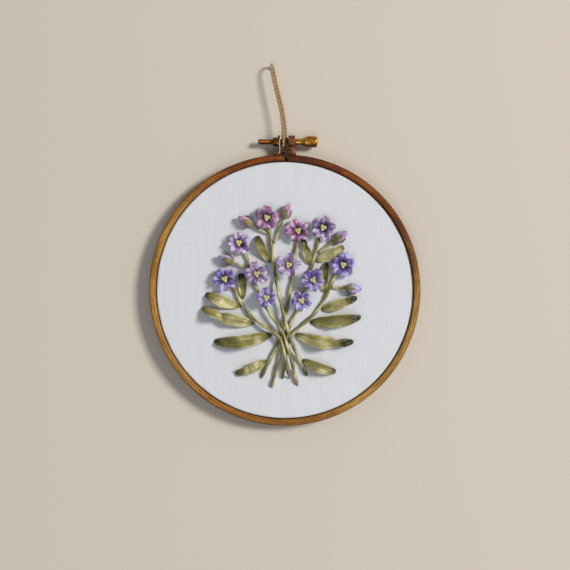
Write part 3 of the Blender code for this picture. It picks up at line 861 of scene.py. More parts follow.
def add_lug(lug):
    width = lug.plate_to - lug.plate_from
    middle_x = (lug.plate_from + lug.plate_to) / 2
    foot_bottom = HOOP_RADIUS + 0.3
    neck_height = SCREW_Y - foot_bottom
    bm = bmesh.new()
    add_cylinder(bm, LUG_PLATE_RADIUS, lug.plate_from, lug.plate_to)
    neck_place = (middle_x, foot_bottom + neck_height / 2, SCREW_Z)
    add_block(bm, (width - 0.04, neck_height, LUG_NECK_DEPTH), neck_place)
    foot_place = ((lug.foot_from + lug.foot_to) / 2, foot_bottom + LUG_FOOT_THICKNESS / 2, SCREW_Z)
    add_block(bm, (lug.foot_to - lug.foot_from, LUG_FOOT_THICKNESS, LUG_FOOT_DEPTH), foot_place)
    if lug.barrel_from is not None:
        add_cylinder(bm, LUG_BARREL_RADIUS, lug.barrel_from, middle_x)
    rough = rough_object(lug.name + " rough", bm)
    bm = bmesh.new()
    add_cylinder(bm, LUG_BORE_RADIUS, lug.plate_from - 9, lug.plate_to + 9)
    bore = rough_object(lug.name + " bore", bm)
    cut = rough.modifiers.new("bore", "BOOLEAN")
    cut.object = bore
    cut.operation = "DIFFERENCE"
    cut.use_self = True
    soften = rough.modifiers.new("edges", "BEVEL")
    soften.width = 0.24
    soften.segments = 3
    soften.angle_limit = math.radians(35)
    graph = bpy.context.evaluated_depsgraph_get()
    bm = bmesh.new()
    bm.from_mesh(rough.evaluated_get(graph).data)
    bpy.data.objects.remove(bore)
    bpy.data.objects.remove(rough)
    for face in bm.faces:
        middle = face.calc_center_median()
        in_barrel = middle.x < lug.plate_from and middle.y > SCREW_Y - 1.2 * LUG_BARREL_RADIUS
        face.material_index = 1 if in_barrel else 0
    return add_piece(lug.name + "_eye", bm, [DARK_BRASS, BROWN_BRASS], lug.slot, [lug.name], sharp=40)


for lug in LUGS:
    print(lug.name + ":", len(add_lug(lug).data.polygons), "faces")

# %% [markdown]
# ## The clamp screw
#
# The screw is one turned piece: a milled head, a neck, and a threaded rod with a rounded tip. All of it is a
# profile turned round the X axis, so a closed grid serves: its long way runs along the screw and its
# short way round it. The thread is real geometry. Its ridge moves along as the angle grows, which makes it
# a helix. The head has fine straight milling, cut as shallow ribs. Ribs and thread hold dirt, so both are
# browner than the plain neck between them.

# %% Clamp screw
ROD_START = -13.5
ROD_RADIUS = 1.35
NECK_START = 5.4
NECK_RADIUS = 1.65
FLARE_START = 7.9
FLARE_LENGTH = 3.0
HEAD_END = 16.3
HEAD_RADIUS = 2.75
THREAD_PITCH = 0.7
THREAD_DEPTH = 0.15
HEAD_RIBS = 40
RIB_DEPTH = 0.022


def screw_radius(x):
    """The screw's plain outline."""
    if x < NECK_START:
        tip = min((x - ROD_START) / 0.7, 1.0)
        return ROD_RADIUS * (0.45 + 0.55 * math.sqrt(1 - (1 - tip) ** 2))
    shoulder = 0.15 * ease(1 - (x - NECK_START) / 0.4)
    flare = ease((x - FLARE_START) / FLARE_LENGTH)
    back = min((HEAD_END - x) / 0.9, 1.0)
    round_off = 0.9 * (1 - math.sqrt(max(1 - (1 - back) ** 2, 0.0)))
    return NECK_RADIUS + (HEAD_RADIUS - NECK_RADIUS) * flare - shoulder - round_off


def screw_surface(along, across):
    x = ROD_START + (HEAD_END - ROD_START) * along
    angle = math.tau * across
    radius = screw_radius(x)
    if x < NECK_START - 0.3:
        turn = (x / THREAD_PITCH - across) % 1.0
        ridge = 1 - abs(2 * turn - 1)
        radius -= THREAD_DEPTH * (1 - ease(ridge * 1.4))
    rib_edge = min(x - FLARE_START - FLARE_LENGTH, HEAD_END - 0.8 - x)
    radius -= RIB_DEPTH * ease(rib_edge / 0.4) * (0.5 + 0.5 * math.cos(HEAD_RIBS * angle))
    return Vector((x, SCREW_Y + radius * math.cos(angle), SCREW_Z + radius * math.sin(angle)))


bm = bmesh.new()
shaped_grid(bm, (300, 160), screw_surface, (29.8, 17.0), closed=True)
bmesh.ops.recalc_face_normals(bm, faces=bm.faces)
finishes = [BROWN_BRASS, BRASS, MILLED_BRASS]
for face in bm.faces:
    x = face.calc_center_median().x
    face.material_index = int(x > NECK_START - 0.3) + int(x > FLARE_START + FLARE_LENGTH)
screw = add_piece("clamp_screw_turned", bm, finishes, "brass_fittings", ["clamp_screw"], sharp=35)
print("clamp screw:", len(screw.data.polygons), "faces")

# %% [markdown]
# ## Silk ribbon
#
# The posy is worked in silk ribbon, olive for the stems and leaves and mauve, lilac and violet for the
# flowers. Silk is smooth with a soft sheen along its threads, and hand dyeing leaves it pale in places and
# deep in others. The material reads a number from the mesh that says how dark each point is, partly how deeply
# the ribbon is coloured there and partly the painted shade and painted highlight that each piece puts on it,
# adds a soft noise, and turns that into colour with a ramp. Silk's threads are a tenth of a millimetre apart,
# too fine to show here, so they are drawn every 0.3 mm along the ribbon, as a faint bump and a faint change of
# tone.

# %% Silk ribbon material
THREAD_SPACING = 0.3


def silk_ribbon(name, pale, middle, deep):
    made, tree, shader = new_material(
        name, Roughness=0.42, Sheen_Weight=0.3, Sheen_Roughness=0.4, Specular_IOR_Level=0.45
    )
    # The shade attribute: how deeply the ribbon is coloured, with the painted shade and painted highlight of
    # each piece.
    dye_and_shade = add_node(tree, "ShaderNodeAttribute", {}, attribute_name="shade").outputs["Fac"]
    coordinates = add_node(tree, "ShaderNodeTexCoord", {}).outputs
    cloud = add_node(
        tree,
        "ShaderNodeTexNoise",
        {"Vector": coordinates["Object"], "Scale": 1 / (4.5 * MM), "Detail": 3.0},
    ).outputs[0]
    uneven = add_node(tree, "ShaderNodeMath", {0: cloud, 1: 0.9, 2: -0.45}, operation="MULTIPLY_ADD")
    depth = add_node(tree, "ShaderNodeMath", {0: dye_and_shade, 1: uneven.outputs[0]}, operation="ADD").outputs[0]
    colour = add_node(
        tree,
        "ShaderNodeValToRGB",
        {"Fac": depth},
        stops=((0.05, pale), (1.0, deep), (0.45, middle)),
    ).outputs[0]
    threads = add_node(
        tree,
        "ShaderNodeTexWave",
        {
            "Vector": coordinates["UV"],
            "Scale": WAVE_RUN / THREAD_SPACING,
            "Distortion": 1.2,
            "Detail": 1.0,
            "Detail Scale": 0.3,
        },
        bands_direction="Y",
    ).outputs["Fac"]
    tone = add_node(
        tree, "ShaderNodeMapRange", {"Value": threads, "To Min": 0.94, "To Max": 1.0}
    ).outputs[0]
    woven = add_node(
        tree, "ShaderNodeVectorMath", {0: colour, "Scale": tone}, operation="SCALE"
    ).outputs[0]
    bump = add_node(tree, "ShaderNodeBump", {"Strength": 0.35, "Distance": 0.02 * MM, "Height": threads})
    tree.links.new(woven, shader.inputs["Base Color"])
    tree.links.new(bump.outputs[0], shader.inputs["Normal"])
    return made


OLIVE = silk_ribbon("silk ribbon, olive", "#BBB586", "#7E7840", "#23220D")
MAUVE = silk_ribbon("silk ribbon, mauve", "#C6A2C4", "#7F5080", "#27102A")
LILAC = silk_ribbon("silk ribbon, lilac", "#C6B8D6", "#7B6496", "#261738")
VIOLET = silk_ribbon("silk ribbon, violet", "#B2AADA", "#5E5398", "#191236")
PETAL_SILK = {"mauve": MAUVE, "lilac": LILAC, "violet": VIOLET}
RIBBON_THICKNESS = 0.22


def give_thickness(piece, thickness, offset=0.0):
    """Ribbon and cloth are shaped as a surface and get their real thickness last."""
    solid = piece.modifiers.new("thickness", "SOLIDIFY")
    solid.thickness = thickness * MM
    solid.offset = offset


print("silk: 4 dyes")

# %% [markdown]
# ## Where the stems run
#
# The posy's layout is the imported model's, row for row, so that each finer stem, leaf and flower lies where
# its solid does. Each stem goes from a cut tail over the waist, where all of them are held, to its tip. The
# ones that lean left pass over the others.

# %% Stems, layout
Stem = namedtuple("Stem", "name tail_x tail_y waist_x tip_x tip_y bow over_from over_to")
STEMS = (
    Stem("stem_right_inner", -12.5, -45.0, -2.8, 6.0, 24.0, 1.0, None, None),
    Stem("stem_right_middle", -7.0, -50.0, 0.0, 17.0, 26.0, 2.0, None, None),
    Stem("stem_right_outer", -1.5, -45.5, 2.8, 25.5, 8.0, 3.0, None, None),
    Stem("stem_left_inner", 11.5, -44.0, 2.8, -8.0, 31.0, -1.5, -29, 1),
    Stem("stem_left_middle", 6.5, -49.0, 0.0, -20.0, 19.0, -2.5, -36, -11),
    Stem("stem_left_outer", 2.2, -44.0, -2.8, -26.5, 2.0, -3.0, -42, -19),
)
WAIST_Y = -24.0
STEM_RADIUS = 1.0
OVER_STEM = 2.3
RISE_RUN = 7.0
STITCHES = []


def stem_curve(stem):
    """The middle line of a stem in plan, from its tail to its tip."""
    tail = Vector((stem.tail_x, stem.tail_y))
    waist = Vector((stem.waist_x, WAIST_Y))
    tip = Vector((stem.tip_x, stem.tip_y))
    across = (tip - waist).orthogonal().normalized()
    knee = (waist + tip) / 2 - across * stem.bow
    return smooth_curve([tail, waist, knee, tip], 12)


def stem_lift(stem, y):
    """How far a stem is raised where it passes over the others."""
    if stem.over_from is None:
        return 0.0
    up = ease((y - stem.over_from) / RISE_RUN + 1)
    down = ease((stem.over_to - y) / RISE_RUN + 1)
    return OVER_STEM * min(up, down)


# %% [markdown]
# ## Stems
#
# A stem is ribbon that is twisted before it is laid, so it is a flattened section that turns as it goes, with
# a crease down one side. Both of its ends dive through the cloth. It is one swept tube, narrower at the ends.
# Its colour is painted darker in the crease, and darker on one side of the twisting section and lighter on the
# other, painted shade and painted light that give the turns of the twist, and it is darker towards the cut
# tail.

# %% Stems
STEM_STATIONS = 90
STEM_SIDES = 16
STEM_TWIST = math.tau / 17.0  # radians for each millimetre
DIVE = 2.6
TIP_REACH = 2.5


def add_stem(stem):
    """One stem of twisted ribbon."""
    curve = stem_curve(stem)
    tip = curve[-1] + (curve[-1] - curve[-2]).normalized() * TIP_REACH
    plan = evenly_spaced(curve + [tip], STEM_STATIONS)
    length = route_length(plan)
    phase = dice.uniform(0.0, math.tau)
    route = []
    for index, spot in enumerate(plan):
        run = length * index / (STEM_STATIONS - 1)
        sink = max(ease(1 - run / 3.0), ease(1 - (length - run) / 3.0))
        height = FACE + STEM_RADIUS - 0.25 + stem_lift(stem, spot.y) - DIVE * sink
        route.append(Vector((spot.x, spot.y, height)))

    def section(along, angle):
        run = length * along
        turned = angle + phase + STEM_TWIST * run
        oval = 0.82 + 0.20 * math.cos(2 * turned)
        crease = 0.22 * math.exp(-(((turned % math.tau) - math.pi) / 0.35) ** 2)
        narrow = 0.5 + 0.5 * ease(min(run, length - run) / 4.0)
        pull = 1 + 0.08 * noise.noise(Vector((run / 5.0, phase, 0.0)))
        return STEM_RADIUS * (oval - crease) * narrow * pull

    # Painted shade in the crease and on one side of the twisted ribbon, painted light on the other, and darker
    # towards the cut tail.
    def shade(along, across):
        run = length * along
        turned = math.tau * across + phase + STEM_TWIST * run
        crease = math.exp(-(((turned % math.tau) - math.pi) / 0.5) ** 2)
        tail = ease(1 - run / 9.0)
        return 0.3 + 0.5 * crease + 0.35 * tail + 0.22 * math.sin(turned)

    STITCHES.extend((plan[0], plan[-1]))
    bm = bmesh.new()
    add_tube(bm, route, STEM_SIDES, section, shade=shade)
    bmesh.ops.recalc_face_normals(bm, faces=bm.faces)
    return add_piece(stem.name + "_ribbon", bm, [OLIVE], "olive_ribbon", [stem.name])


for stem in STEMS:
    add_stem(stem)
print("stems:", len(STEMS))

# %% [markdown]
# ## Where the leaves are
#
# Each leaf starts beside a stem, at a height of its own, and runs off at a heading. It bends along its
# length, arches off the cloth and tips one edge up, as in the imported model.

# %% Leaves, layout
Leaf = namedtuple("Leaf", "name stem at_y side heading length width turn lift roll")
LEAVES = (
    Leaf("leaf_base_left", "stem_left_outer", -21.0, -1, 200, 29.0, 6.6, -26, 2.4, 24),
    Leaf("leaf_base_right", "stem_right_outer", -21.0, 1, -22, 29.0, 6.6, 30, 2.2, -22),
    Leaf("leaf_low_left", "stem_left_outer", -15.0, -1, 174, 27.0, 6.8, -22, 2.6, -26),
    Leaf("leaf_low_right", "stem_right_outer", -15.0, 1, -2, 25.0, 6.8, 16, 2.6, 28),
    Leaf("leaf_side_left", "stem_left_outer", -7.5, -1, 168, 18.0, 5.8, -16, 1.6, 20),
    Leaf("leaf_side_right", "stem_right_outer", -8.0, 1, 14, 18.0, 5.8, 10, 1.8, -20),
    Leaf("leaf_between_left", "stem_left_outer", -4.5, 1, 88, 12.0, 4.4, 14, 0.6, 12),
    Leaf("leaf_between_right", "stem_right_outer", -1.0, -1, 92, 14.0, 4.4, -14, 0.6, -12),
    Leaf("leaf_inner_left", "stem_left_inner", 14.0, -1, 124, 14.0, 5.0, -16, 1.0, 18),
    Leaf("leaf_inner_right", "stem_right_middle", 14.0, -1, 100, 13.0, 4.6, 10, 0.8, -14),
    Leaf("leaf_upper_right", "stem_right_middle", 14.5, 1, 22, 15.0, 5.4, 10, 1.4, 24),
    Leaf("leaf_tail_left", "stem_right_inner", -37.0, -1, 214, 16.0, 5.4, -24, 1.8, 26),
    Leaf("leaf_tail_right", "stem_left_inner", -36.0, 1, -30, 17.0, 5.4, 22, 1.8, -26),
)
LEAF_END_WIDTH = 1.3


def stem_side(stem_name, at_y, side, heading, end_width):
    """Where a leaf or bud meets the side of a stem, in plan."""
    stem = next(row for row in STEMS if row.name == stem_name)
    curve = stem_curve(stem)
    index = min(range(1, len(curve) - 1), key=lambda spot: abs(curve[spot].y - at_y))
    along = (curve[index + 1] - curve[index - 1]).normalized()
    outward = Vector((along.y, -along.x)) * side
    skew = abs(math.sin(math.radians(heading) - math.atan2(outward.y, outward.x)))
    return curve[index] + outward * (STEM_RADIUS + 0.4 + end_width / 2 * skew)


# %% [markdown]
# ## Leaves
#
# A leaf is one ribbon stitch: the ribbon comes up beside the stem, lies loosely over the cloth, and is taken
# down through its own end, which pinches both ends into pleats and leaves the middle full. The strip is a grid
# on the leaf's curved middle surface. Pleats are added at its ends, and a shallow cup, one edge that curls up
# and small ripples along the rest. Each leaf is darker at the pinched root and over its outer part towards the
# tip, partly deeper colour in the ribbon and partly painted shade in the pleats, and its paler edges are a
# painted highlight.

# %% Leaves
PLEAT = 0.45
CUP = 0.45
CURL = 0.75
RIPPLE = 0.7
SWING = 9
ROOT_REACH = 0.9
# Where some leaves are twisted over on the way, as a share of their length, and by how many degrees.
TWISTED = {
    "leaf_base_right": (0.70, -34),
    "leaf_low_left": (0.62, 36),
    "leaf_side_right": (0.66, 34),
    "leaf_tail_left": (0.60, -30),
    "leaf_inner_right": (0.62, 34),
}


def add_leaf(leaf):
    """One leaf of ribbon."""
    root = stem_side(leaf.stem, leaf.at_y, leaf.side, leaf.heading, LEAF_END_WIDTH)
    start = math.radians(leaf.heading)
    turn = math.radians(leaf.turn)
    radius = leaf.length / turn
    seed = dice.uniform(0.0, 50.0)
    tone = dice.uniform(0.16, 0.52)
    dark_tip = dice.uniform(0.4, 1.0)
    dark_from = dice.uniform(0.45, 0.75)
    lead = ROOT_REACH / leaf.length
    pleat_shift = dice.uniform(-0.9, 0.9)
    pleats = dice.choice((2.2, 2.6, 3.0))
    curled = dice.choice((-1, 1))
    curl_at = dice.uniform(0.35, 0.7)
    twist_at, twist = TWISTED.get(leaf.name, (0.6, 0))

    def place(run, across):
        along = run * (1 + lead) - lead
        across = 2 * across - 1
        angle = start + turn * along
        x = root.x + radius * (math.sin(angle) - math.sin(start))
        y = root.y - radius * (math.cos(angle) - math.cos(start))
        arch = max(math.sin(math.pi * along), 0.0)
        half = (LEAF_END_WIDTH + (leaf.width - LEAF_END_WIDTH) * arch**0.55) / 2
        half *= 1 + 0.07 * noise.noise(Vector((along * leaf.length / 3.0, seed, math.copysign(3.0, across))))
        narrowed = 0.42 * abs(twist) / 36 * math.exp(-(((along - twist_at) / 0.09) ** 2))
        half *= 1 - narrowed
        turned = ease((along - twist_at) / 0.2 + 0.5)
        tilt = leaf.roll * ease(along * 1.2) * (1 - turned * (twist != 0)) + twist * turned
        roll = math.radians(tilt + SWING * arch * math.sin(7 * along + seed))
        height = FACE + 0.35 + half * abs(math.sin(roll)) + leaf.lift * arch**1.5
        height += PLEAT * (1 - arch) ** 2 * math.cos(pleats * math.pi * across + pleat_shift)
        rolled = math.exp(-(((along - curl_at) / 0.28) ** 2))
        height += arch * CUP * across**2 + CURL * rolled * ease(curled * across * 1.6 - 0.6)
        wave = noise.noise(Vector((along * leaf.length / 6.5, across * 0.9, seed)))
        height += RIPPLE * arch * wave
        height -= 1.3 * max(ease(1 - run / 0.05), ease((run - 0.95) / 0.05))
        sway = 0.25 * noise.noise(Vector((along * leaf.length / 6.0, seed, across)))
        sideways = across * half * math.cos(roll) + sway * arch
        height += across * half * math.sin(roll)
        return Vector((x - math.sin(angle) * sideways, y + math.cos(angle) * sideways, height))

    # Random tone and streaks; darker towards the tip and at the pinched root, partly deeper colour and partly
    # painted shade in the pleats; the paler edges are a painted highlight.
    def shade(along, across):
        across = 2 * across - 1
        streak = 0.16 * noise.noise(Vector((along * 2.0, across * 5.0, seed)))
        patch = 0.2 * noise.noise(Vector((along * leaf.length / 7.0, across, seed + 9.0)))
        ends = dark_tip * ease((along - dark_from) / (1.02 - dark_from)) + 0.3 * ease(1 - along / 0.18)
        return tone + streak + patch + ends - 0.16 * abs(across) ** 4

    STITCHES.extend((place(0.0, 0.5).xy, place(1.0, 0.5).xy))
    bm = bmesh.new()
    shaped_grid(bm, (48, 16), place, (leaf.length, leaf.width), shade=shade)
    bmesh.ops.recalc_face_normals(bm, faces=bm.faces)
    piece = add_piece(leaf.name + "_ribbon", bm, [OLIVE], "olive_ribbon", [leaf.name])
    give_thickness(piece, RIBBON_THICKNESS)


for leaf in LEAVES:
    add_leaf(leaf)
print("leaves:", len(LEAVES))

# %% [markdown]
# ## Blossoms
#
# A blossom is five petals round a knotted centre. Each petal is a short ribbon stitch that comes up at the
# middle, stands away from the cloth, opens out and rolls over at its tip. All five follow one line from
# the middle outwards. They are wide in the middle and pinched at both ends, one edge of each lies over its
# neighbour, and a seeded die turns, stretches and ruffles each a little, because no two stitches match.

# %% Blossoms
Blossom = namedtuple("Blossom", "name x y radius level turn colour")
BLOSSOMS = (
    Blossom("blossom_top_left", -9.0, 36.0, 6.2, 0, 10, "mauve"),
    Blossom("blossom_top_right", 6.5, 29.5, 6.2, 0, 40, "mauve"),
    Blossom("blossom_upper_left", -23.0, 23.5, 6.0, 0, 25, "lilac"),
    Blossom("blossom_upper_right", 19.0, 31.0, 6.2, 0, 0, "lilac"),
    Blossom("blossom_side_left", -30.0, 5.5, 6.2, 0, 50, "violet"),
    Blossom("blossom_side_right", 29.0, 12.5, 6.2, 0, 15, "violet"),
    Blossom("blossom_middle_left", -14.0, 8.0, 6.0, 1, 30, "lilac"),
    Blossom("blossom_middle", 1.8, 12.5, 6.4, 1, 5, "lilac"),
    Blossom("blossom_middle_right", 14.0, 5.0, 6.0, 1, 60, "violet"),
    Blossom("blossom_low_left", -9.2, -3.8, 5.2, 1, 20, "violet"),
    Blossom("blossom_low_right", 8.2, -5.2, 5.2, 1, 45, "violet"),
)
PETALS = 5
PETAL_HALF_WIDTH = 2.55
# The line of a petal from the middle out: a share of the blossom's radius, and a height in millimetres.
PETAL_LINE = (
    (0.13, 1.0),
    (0.28, 2.45),
    (0.50, 3.30),
    (0.74, 3.75),
    (0.92, 3.45),
    (0.99, 2.75),
    (0.94, 2.15),
)


def add_petal(bm, blossom, number):
    """One ruffled petal."""
    down = -0.7 - blossom.level * OVER_STEM
    turn = math.radians(blossom.turn + 360 / PETALS * number + dice.uniform(-6, 6))
    size = blossom.radius * dice.uniform(0.9, 1.04)
    broad = dice.uniform(0.86, 1.08)
    folded = dice.uniform(0.15, 0.5) * dice.choice((-1, 1))
    raised = dice.uniform(-0.25, 0.2)
    seed = dice.uniform(0.0, 90.0)
    tone = dice.uniform(-0.12, 0.2)
    side_shade = dice.uniform(0.05, 0.25)
    line = [Vector((0.05 * size, down))]
    line += [Vector((reach * size, height + raised)) for reach, height in PETAL_LINE]
    steps = 26
    line = evenly_spaced(smooth_curve(line, 6), steps + 1)
    base = FACE + blossom.level * OVER_STEM

    def place(along, across):
        across = 2 * across - 1
        spot = line[round(along * steps)]
        out, height = spot
        full = max(math.sin(math.pi * along**1.25), 0.0) ** 0.6
        half = PETAL_HALF_WIDTH * broad * blossom.radius / 6.2 * (0.16 + 0.84 * full)
        half *= 1 + 0.14 * noise.noise(Vector((along * 4.5, seed, math.copysign(2.0, across))))
        half = min(half, 0.25 + 1.05 * out * math.tan(math.pi / PETALS))
        height += full * (0.65 * across**2 - 0.22 * math.exp(-((across / 0.16) ** 2)))
        height += (0.30 + folded * across**3) * across * full
        height += 0.3 * (1 - full) * math.cos(2.5 * math.pi * across)
        height += 0.6 * full * noise.noise(Vector((along * 4.0, across * 1.8, seed)))
        height += 0.3 * full * noise.noise(Vector((along * 7.0, across * 4.0, seed)))
        out += 0.5 * noise.noise(Vector((across * 1.8, seed, along * 2.0))) * along
        sideways = across * half
        return Vector(
            (
                blossom.x + out * math.cos(turn) - sideways * math.sin(turn),
                blossom.y + out * math.sin(turn) + sideways * math.cos(turn),
                base + height,
            )
        )

    # Painted shade: darker at the heart where the petals meet, along the middle crease, at the rolled-over tip
    # and on one side of each petal. The paler edges are a painted highlight. tone and rumple vary the colour
    # at random.
    def shade(along, across):
        across = 2 * across - 1
        heart = 0.75 * ease(1 - (along - 0.25) / 0.4)
        fold = 0.25 * math.exp(-((across / 0.18) ** 2))
        tip = 0.35 * ease((along - 0.86) / 0.14)
        rumple = 0.3 * noise.noise(Vector((along * 5.0, across * 3.0, seed + 40.0)))
        return 0.24 + tone + heart + fold + tip + rumple + side_shade * across - 0.2 * abs(across) ** 3

    shaped_grid(bm, (steps, 12), place, (9.0, 2 * PETAL_HALF_WIDTH), shade=shade)


for blossom in BLOSSOMS:
    bm = bmesh.new()
    for number in range(PETALS):
        add_petal(bm, blossom, number)
    bmesh.ops.recalc_face_normals(bm, faces=bm.faces)
    silk = PETAL_SILK[blossom.colour]
    name = blossom.name + "_petals"
    piece = add_piece(name, bm, [silk], blossom.colour + "_ribbon", [blossom.name])
    give_thickness(piece, RIBBON_THICKNESS)
    STITCHES.append(Vector((blossom.x, blossom.y)))
print("blossoms:", len(BLOSSOMS), "of", PETALS, "petals")

# %% [markdown]
# ## Knotted centres
#
# The middle of a blossom is three small knots, each made by winding thread twice round the needle. A knot is a
# short coil that narrows as it rises, swept as a tube. The thread is the pale green of the leaves.

# %% Knotted centres
KNOT_THREAD = twisted_fibre("silk thread, pale green", ((0.3, "#9C955A"), (0.7, "#E2DCA8")), 0.15, 0.6)
KNOT_THREAD_RADIUS = 0.36


def add_knot(bm, middle, swing):
    """Two turns of thread that narrow as they rise."""
    route = []
    for step in range(41):
        share = step / 40
        angle = swing + math.tau * 2.3 * share
        turn_radius = 0.62 * (1 - 0.85 * share**2)
        rise = 0.95 * share
        route.append(middle + Vector((turn_radius * math.cos(angle), turn_radius * math.sin(angle), rise)))
    add_tube(bm, route, 8, lambda along, angle: KNOT_THREAD_RADIUS * (1 - 0.35 * along**4))


for blossom in BLOSSOMS:
    bm = bmesh.new()
    base = FACE + blossom.level * OVER_STEM
    for number in range(3):
        swing = math.radians(blossom.turn) + math.tau / 3 * number
        away = Vector((math.cos(swing), math.sin(swing), 0.0)) * 0.85
        middle = Vector((blossom.x, blossom.y, base + 2.55 + dice.uniform(-0.1, 0.25))) + away
        add_knot(bm, middle, swing)
    bmesh.ops.recalc_face_normals(bm, faces=bm.faces)
    add_piece(blossom.name + "_knots", bm, [KNOT_THREAD], "olive_ribbon")
print("knots:", 3 * len(BLOSSOMS))

# %% [markdown]
# ## Buds
#
# A bud has a short twisted stalk that leaves a stem, and three petals wrapped round each other, held by
# three small olive sepals. Petals and sepals are strips bent round the bud's own axis, which climbs gently
# because the bud is thicker than its stalk and lies on the cloth. Each petal starts under one neighbour and
# ends over the other.

# %% Buds
Bud = namedtuple("Bud", "name stem at_y side heading length colour")
BUDS = (
    Bud("bud_left", "stem_left_middle", 12.0, -1, 156, 15.0, "lilac"),
    Bud("bud_right", "stem_right_outer", 2.0, 1, -4, 14.0, "violet"),
    Bud("bud_upper_left", "stem_left_inner", 28.5, -1, 150, 16.0, "mauve"),
    Bud("bud_upper_right", "stem_right_middle", 20.0, 1, 36, 17.0, "lilac"),
    Bud("bud_crest", "stem_left_inner", 24.0, 1, 69, 20.0, "mauve"),
)
STALK_RADIUS = 0.7
BULB_RADIUS = 2.5
BULB_LENGTH = 8.0
# The outline of a bud from its point down, as shares of its radius and of its length.
BULB_LINE = ((0.10, 0.0), (0.42, 0.08), (0.82, 0.34), (1.00, 0.60), (0.74, 0.88), (0.30, 1.0))


def add_bud(bud):
    """One bud: petals and sepals as one piece, and its stalk as another."""
    root = stem_side(bud.stem, bud.at_y, bud.side, bud.heading, 2 * STALK_RADIUS)
    root = Vector((root.x, root.y, FACE + STALK_RADIUS))
    climb = math.atan2(BULB_RADIUS - STALK_RADIUS, bud.length - BULB_LENGTH / 2)
    heading = math.radians(bud.heading)
    level = Vector((math.cos(heading), math.sin(heading), 0.0))
    ahead = level * math.cos(climb) + Vector((0.0, 0.0, math.sin(climb)))
    side = level.cross(Vector((0.0, 0.0, 1.0)))
    up = side.cross(ahead)
    outline = evenly_spaced(smooth_curve(BULB_LINE, 6), 31)
    seed = dice.uniform(0.0, 60.0)

    def on_bulb(down, angle, swell):
        width, share = outline[round(down * 30)]
        reach = BULB_RADIUS * width * swell
        out = side * math.cos(angle) + up * math.sin(angle)
        return root + ahead * (bud.length - BULB_LENGTH * share) + out * reach

    def wrap(bm, middle, half_angle, down_from, down_to, swell, pointed, material, shade):
        def place(along, across):
            across = 2 * across - 1
            down = down_to + (down_from - down_to) * along
            narrow = math.sin(math.pi * min(along * 0.5 + 0.5, 1.0)) ** 0.6 if pointed else 1.0
            angle = middle + across * half_angle * narrow
            ruffle = 0.05 * noise.noise(Vector((along * 3.0, across * 2.0, seed + middle)))
            lip = 0.22 * ease((along - 0.8) / 0.2) * (1 - 0.5 * abs(across))
            return on_bulb(down, angle, swell + 0.07 * across + ruffle + lip)

        shaped_grid(bm, (20, 12), place, (BULB_LENGTH, 5.0), shade=shade, material=material)

    bm = bmesh.new()
    for number in range(3):
        middle = math.pi / 2 + math.tau / 3 * number + 0.5
        tone = dice.uniform(0.1, 0.3)

        # Painted shade on the edge that lies under the next petal and on the lower half that the sepals wrap;
        # also darker at the point and by a random tone.
        def petal_shade(along, across, tone=tone):
            edge = 0.3 * ease(1 - across / 0.15)
            return tone + edge + 0.35 * ease(1 - along / 0.5) + 0.25 * ease((along - 0.85) / 0.15)

        wrap(bm, middle, math.radians(76), 0.0, 0.98, 0.92, False, 0, petal_shade)
    for number in range(3):
        middle = math.pi / 2 + math.tau / 3 * number

        def sepal_shade(along, across):
            return 0.25 + 0.3 * along + 0.25 * math.exp(-(((across - 0.5) / 0.12) ** 2))

        wrap(bm, middle, math.radians(42), 0.40, 1.0, 1.12, True, 1, sepal_shade)
    bmesh.ops.recalc_face_normals(bm, faces=bm.faces)
    silks = [PETAL_SILK[bud.colour], OLIVE]
    piece = add_piece(bud.name + "_petals", bm, silks, bud.colour + "_ribbon", [bud.name])
    give_thickness(piece, RIBBON_THICKNESS)

    stalk_end = root + ahead * (bud.length - BULB_LENGTH + 0.6)
    bend = root.lerp(stalk_end, 0.35)
    route = smooth_curve([root - ahead * 0.9 - up * 0.9, root, bend, stalk_end], 8)

    def section(along, angle):
        return STALK_RADIUS * (0.86 + 0.16 * math.cos(2 * (angle + 5 * along)))

    bm = bmesh.new()
    add_tube(bm, route, 12, section, shade=lambda along, across: 0.25 + 0.2 * math.sin(9 * along))
    bmesh.ops.recalc_face_normals(bm, faces=bm.faces)
    add_piece(bud.name + "_stalk", bm, [OLIVE], "olive_ribbon")
    STITCHES.append(root.xy)


for bud in BUDS:
    add_bud(bud)
print("buds:", len(BUDS))

# %% [markdown]
# ## Cotton cloth
#
# The ground is fine white cotton in a plain weave, about 28 threads to the centimetre. That is too fine to
# show, so the weave is drawn at 0.7 mm with a bump so slight that it only breaks up the light. Some of the
# threads that run up and down are thicker than others, which shows as faint streaks. Cotton scatters light
# well and has hardly any shine.

# %% Cotton cloth material
WEAVE = 0.7 * MM


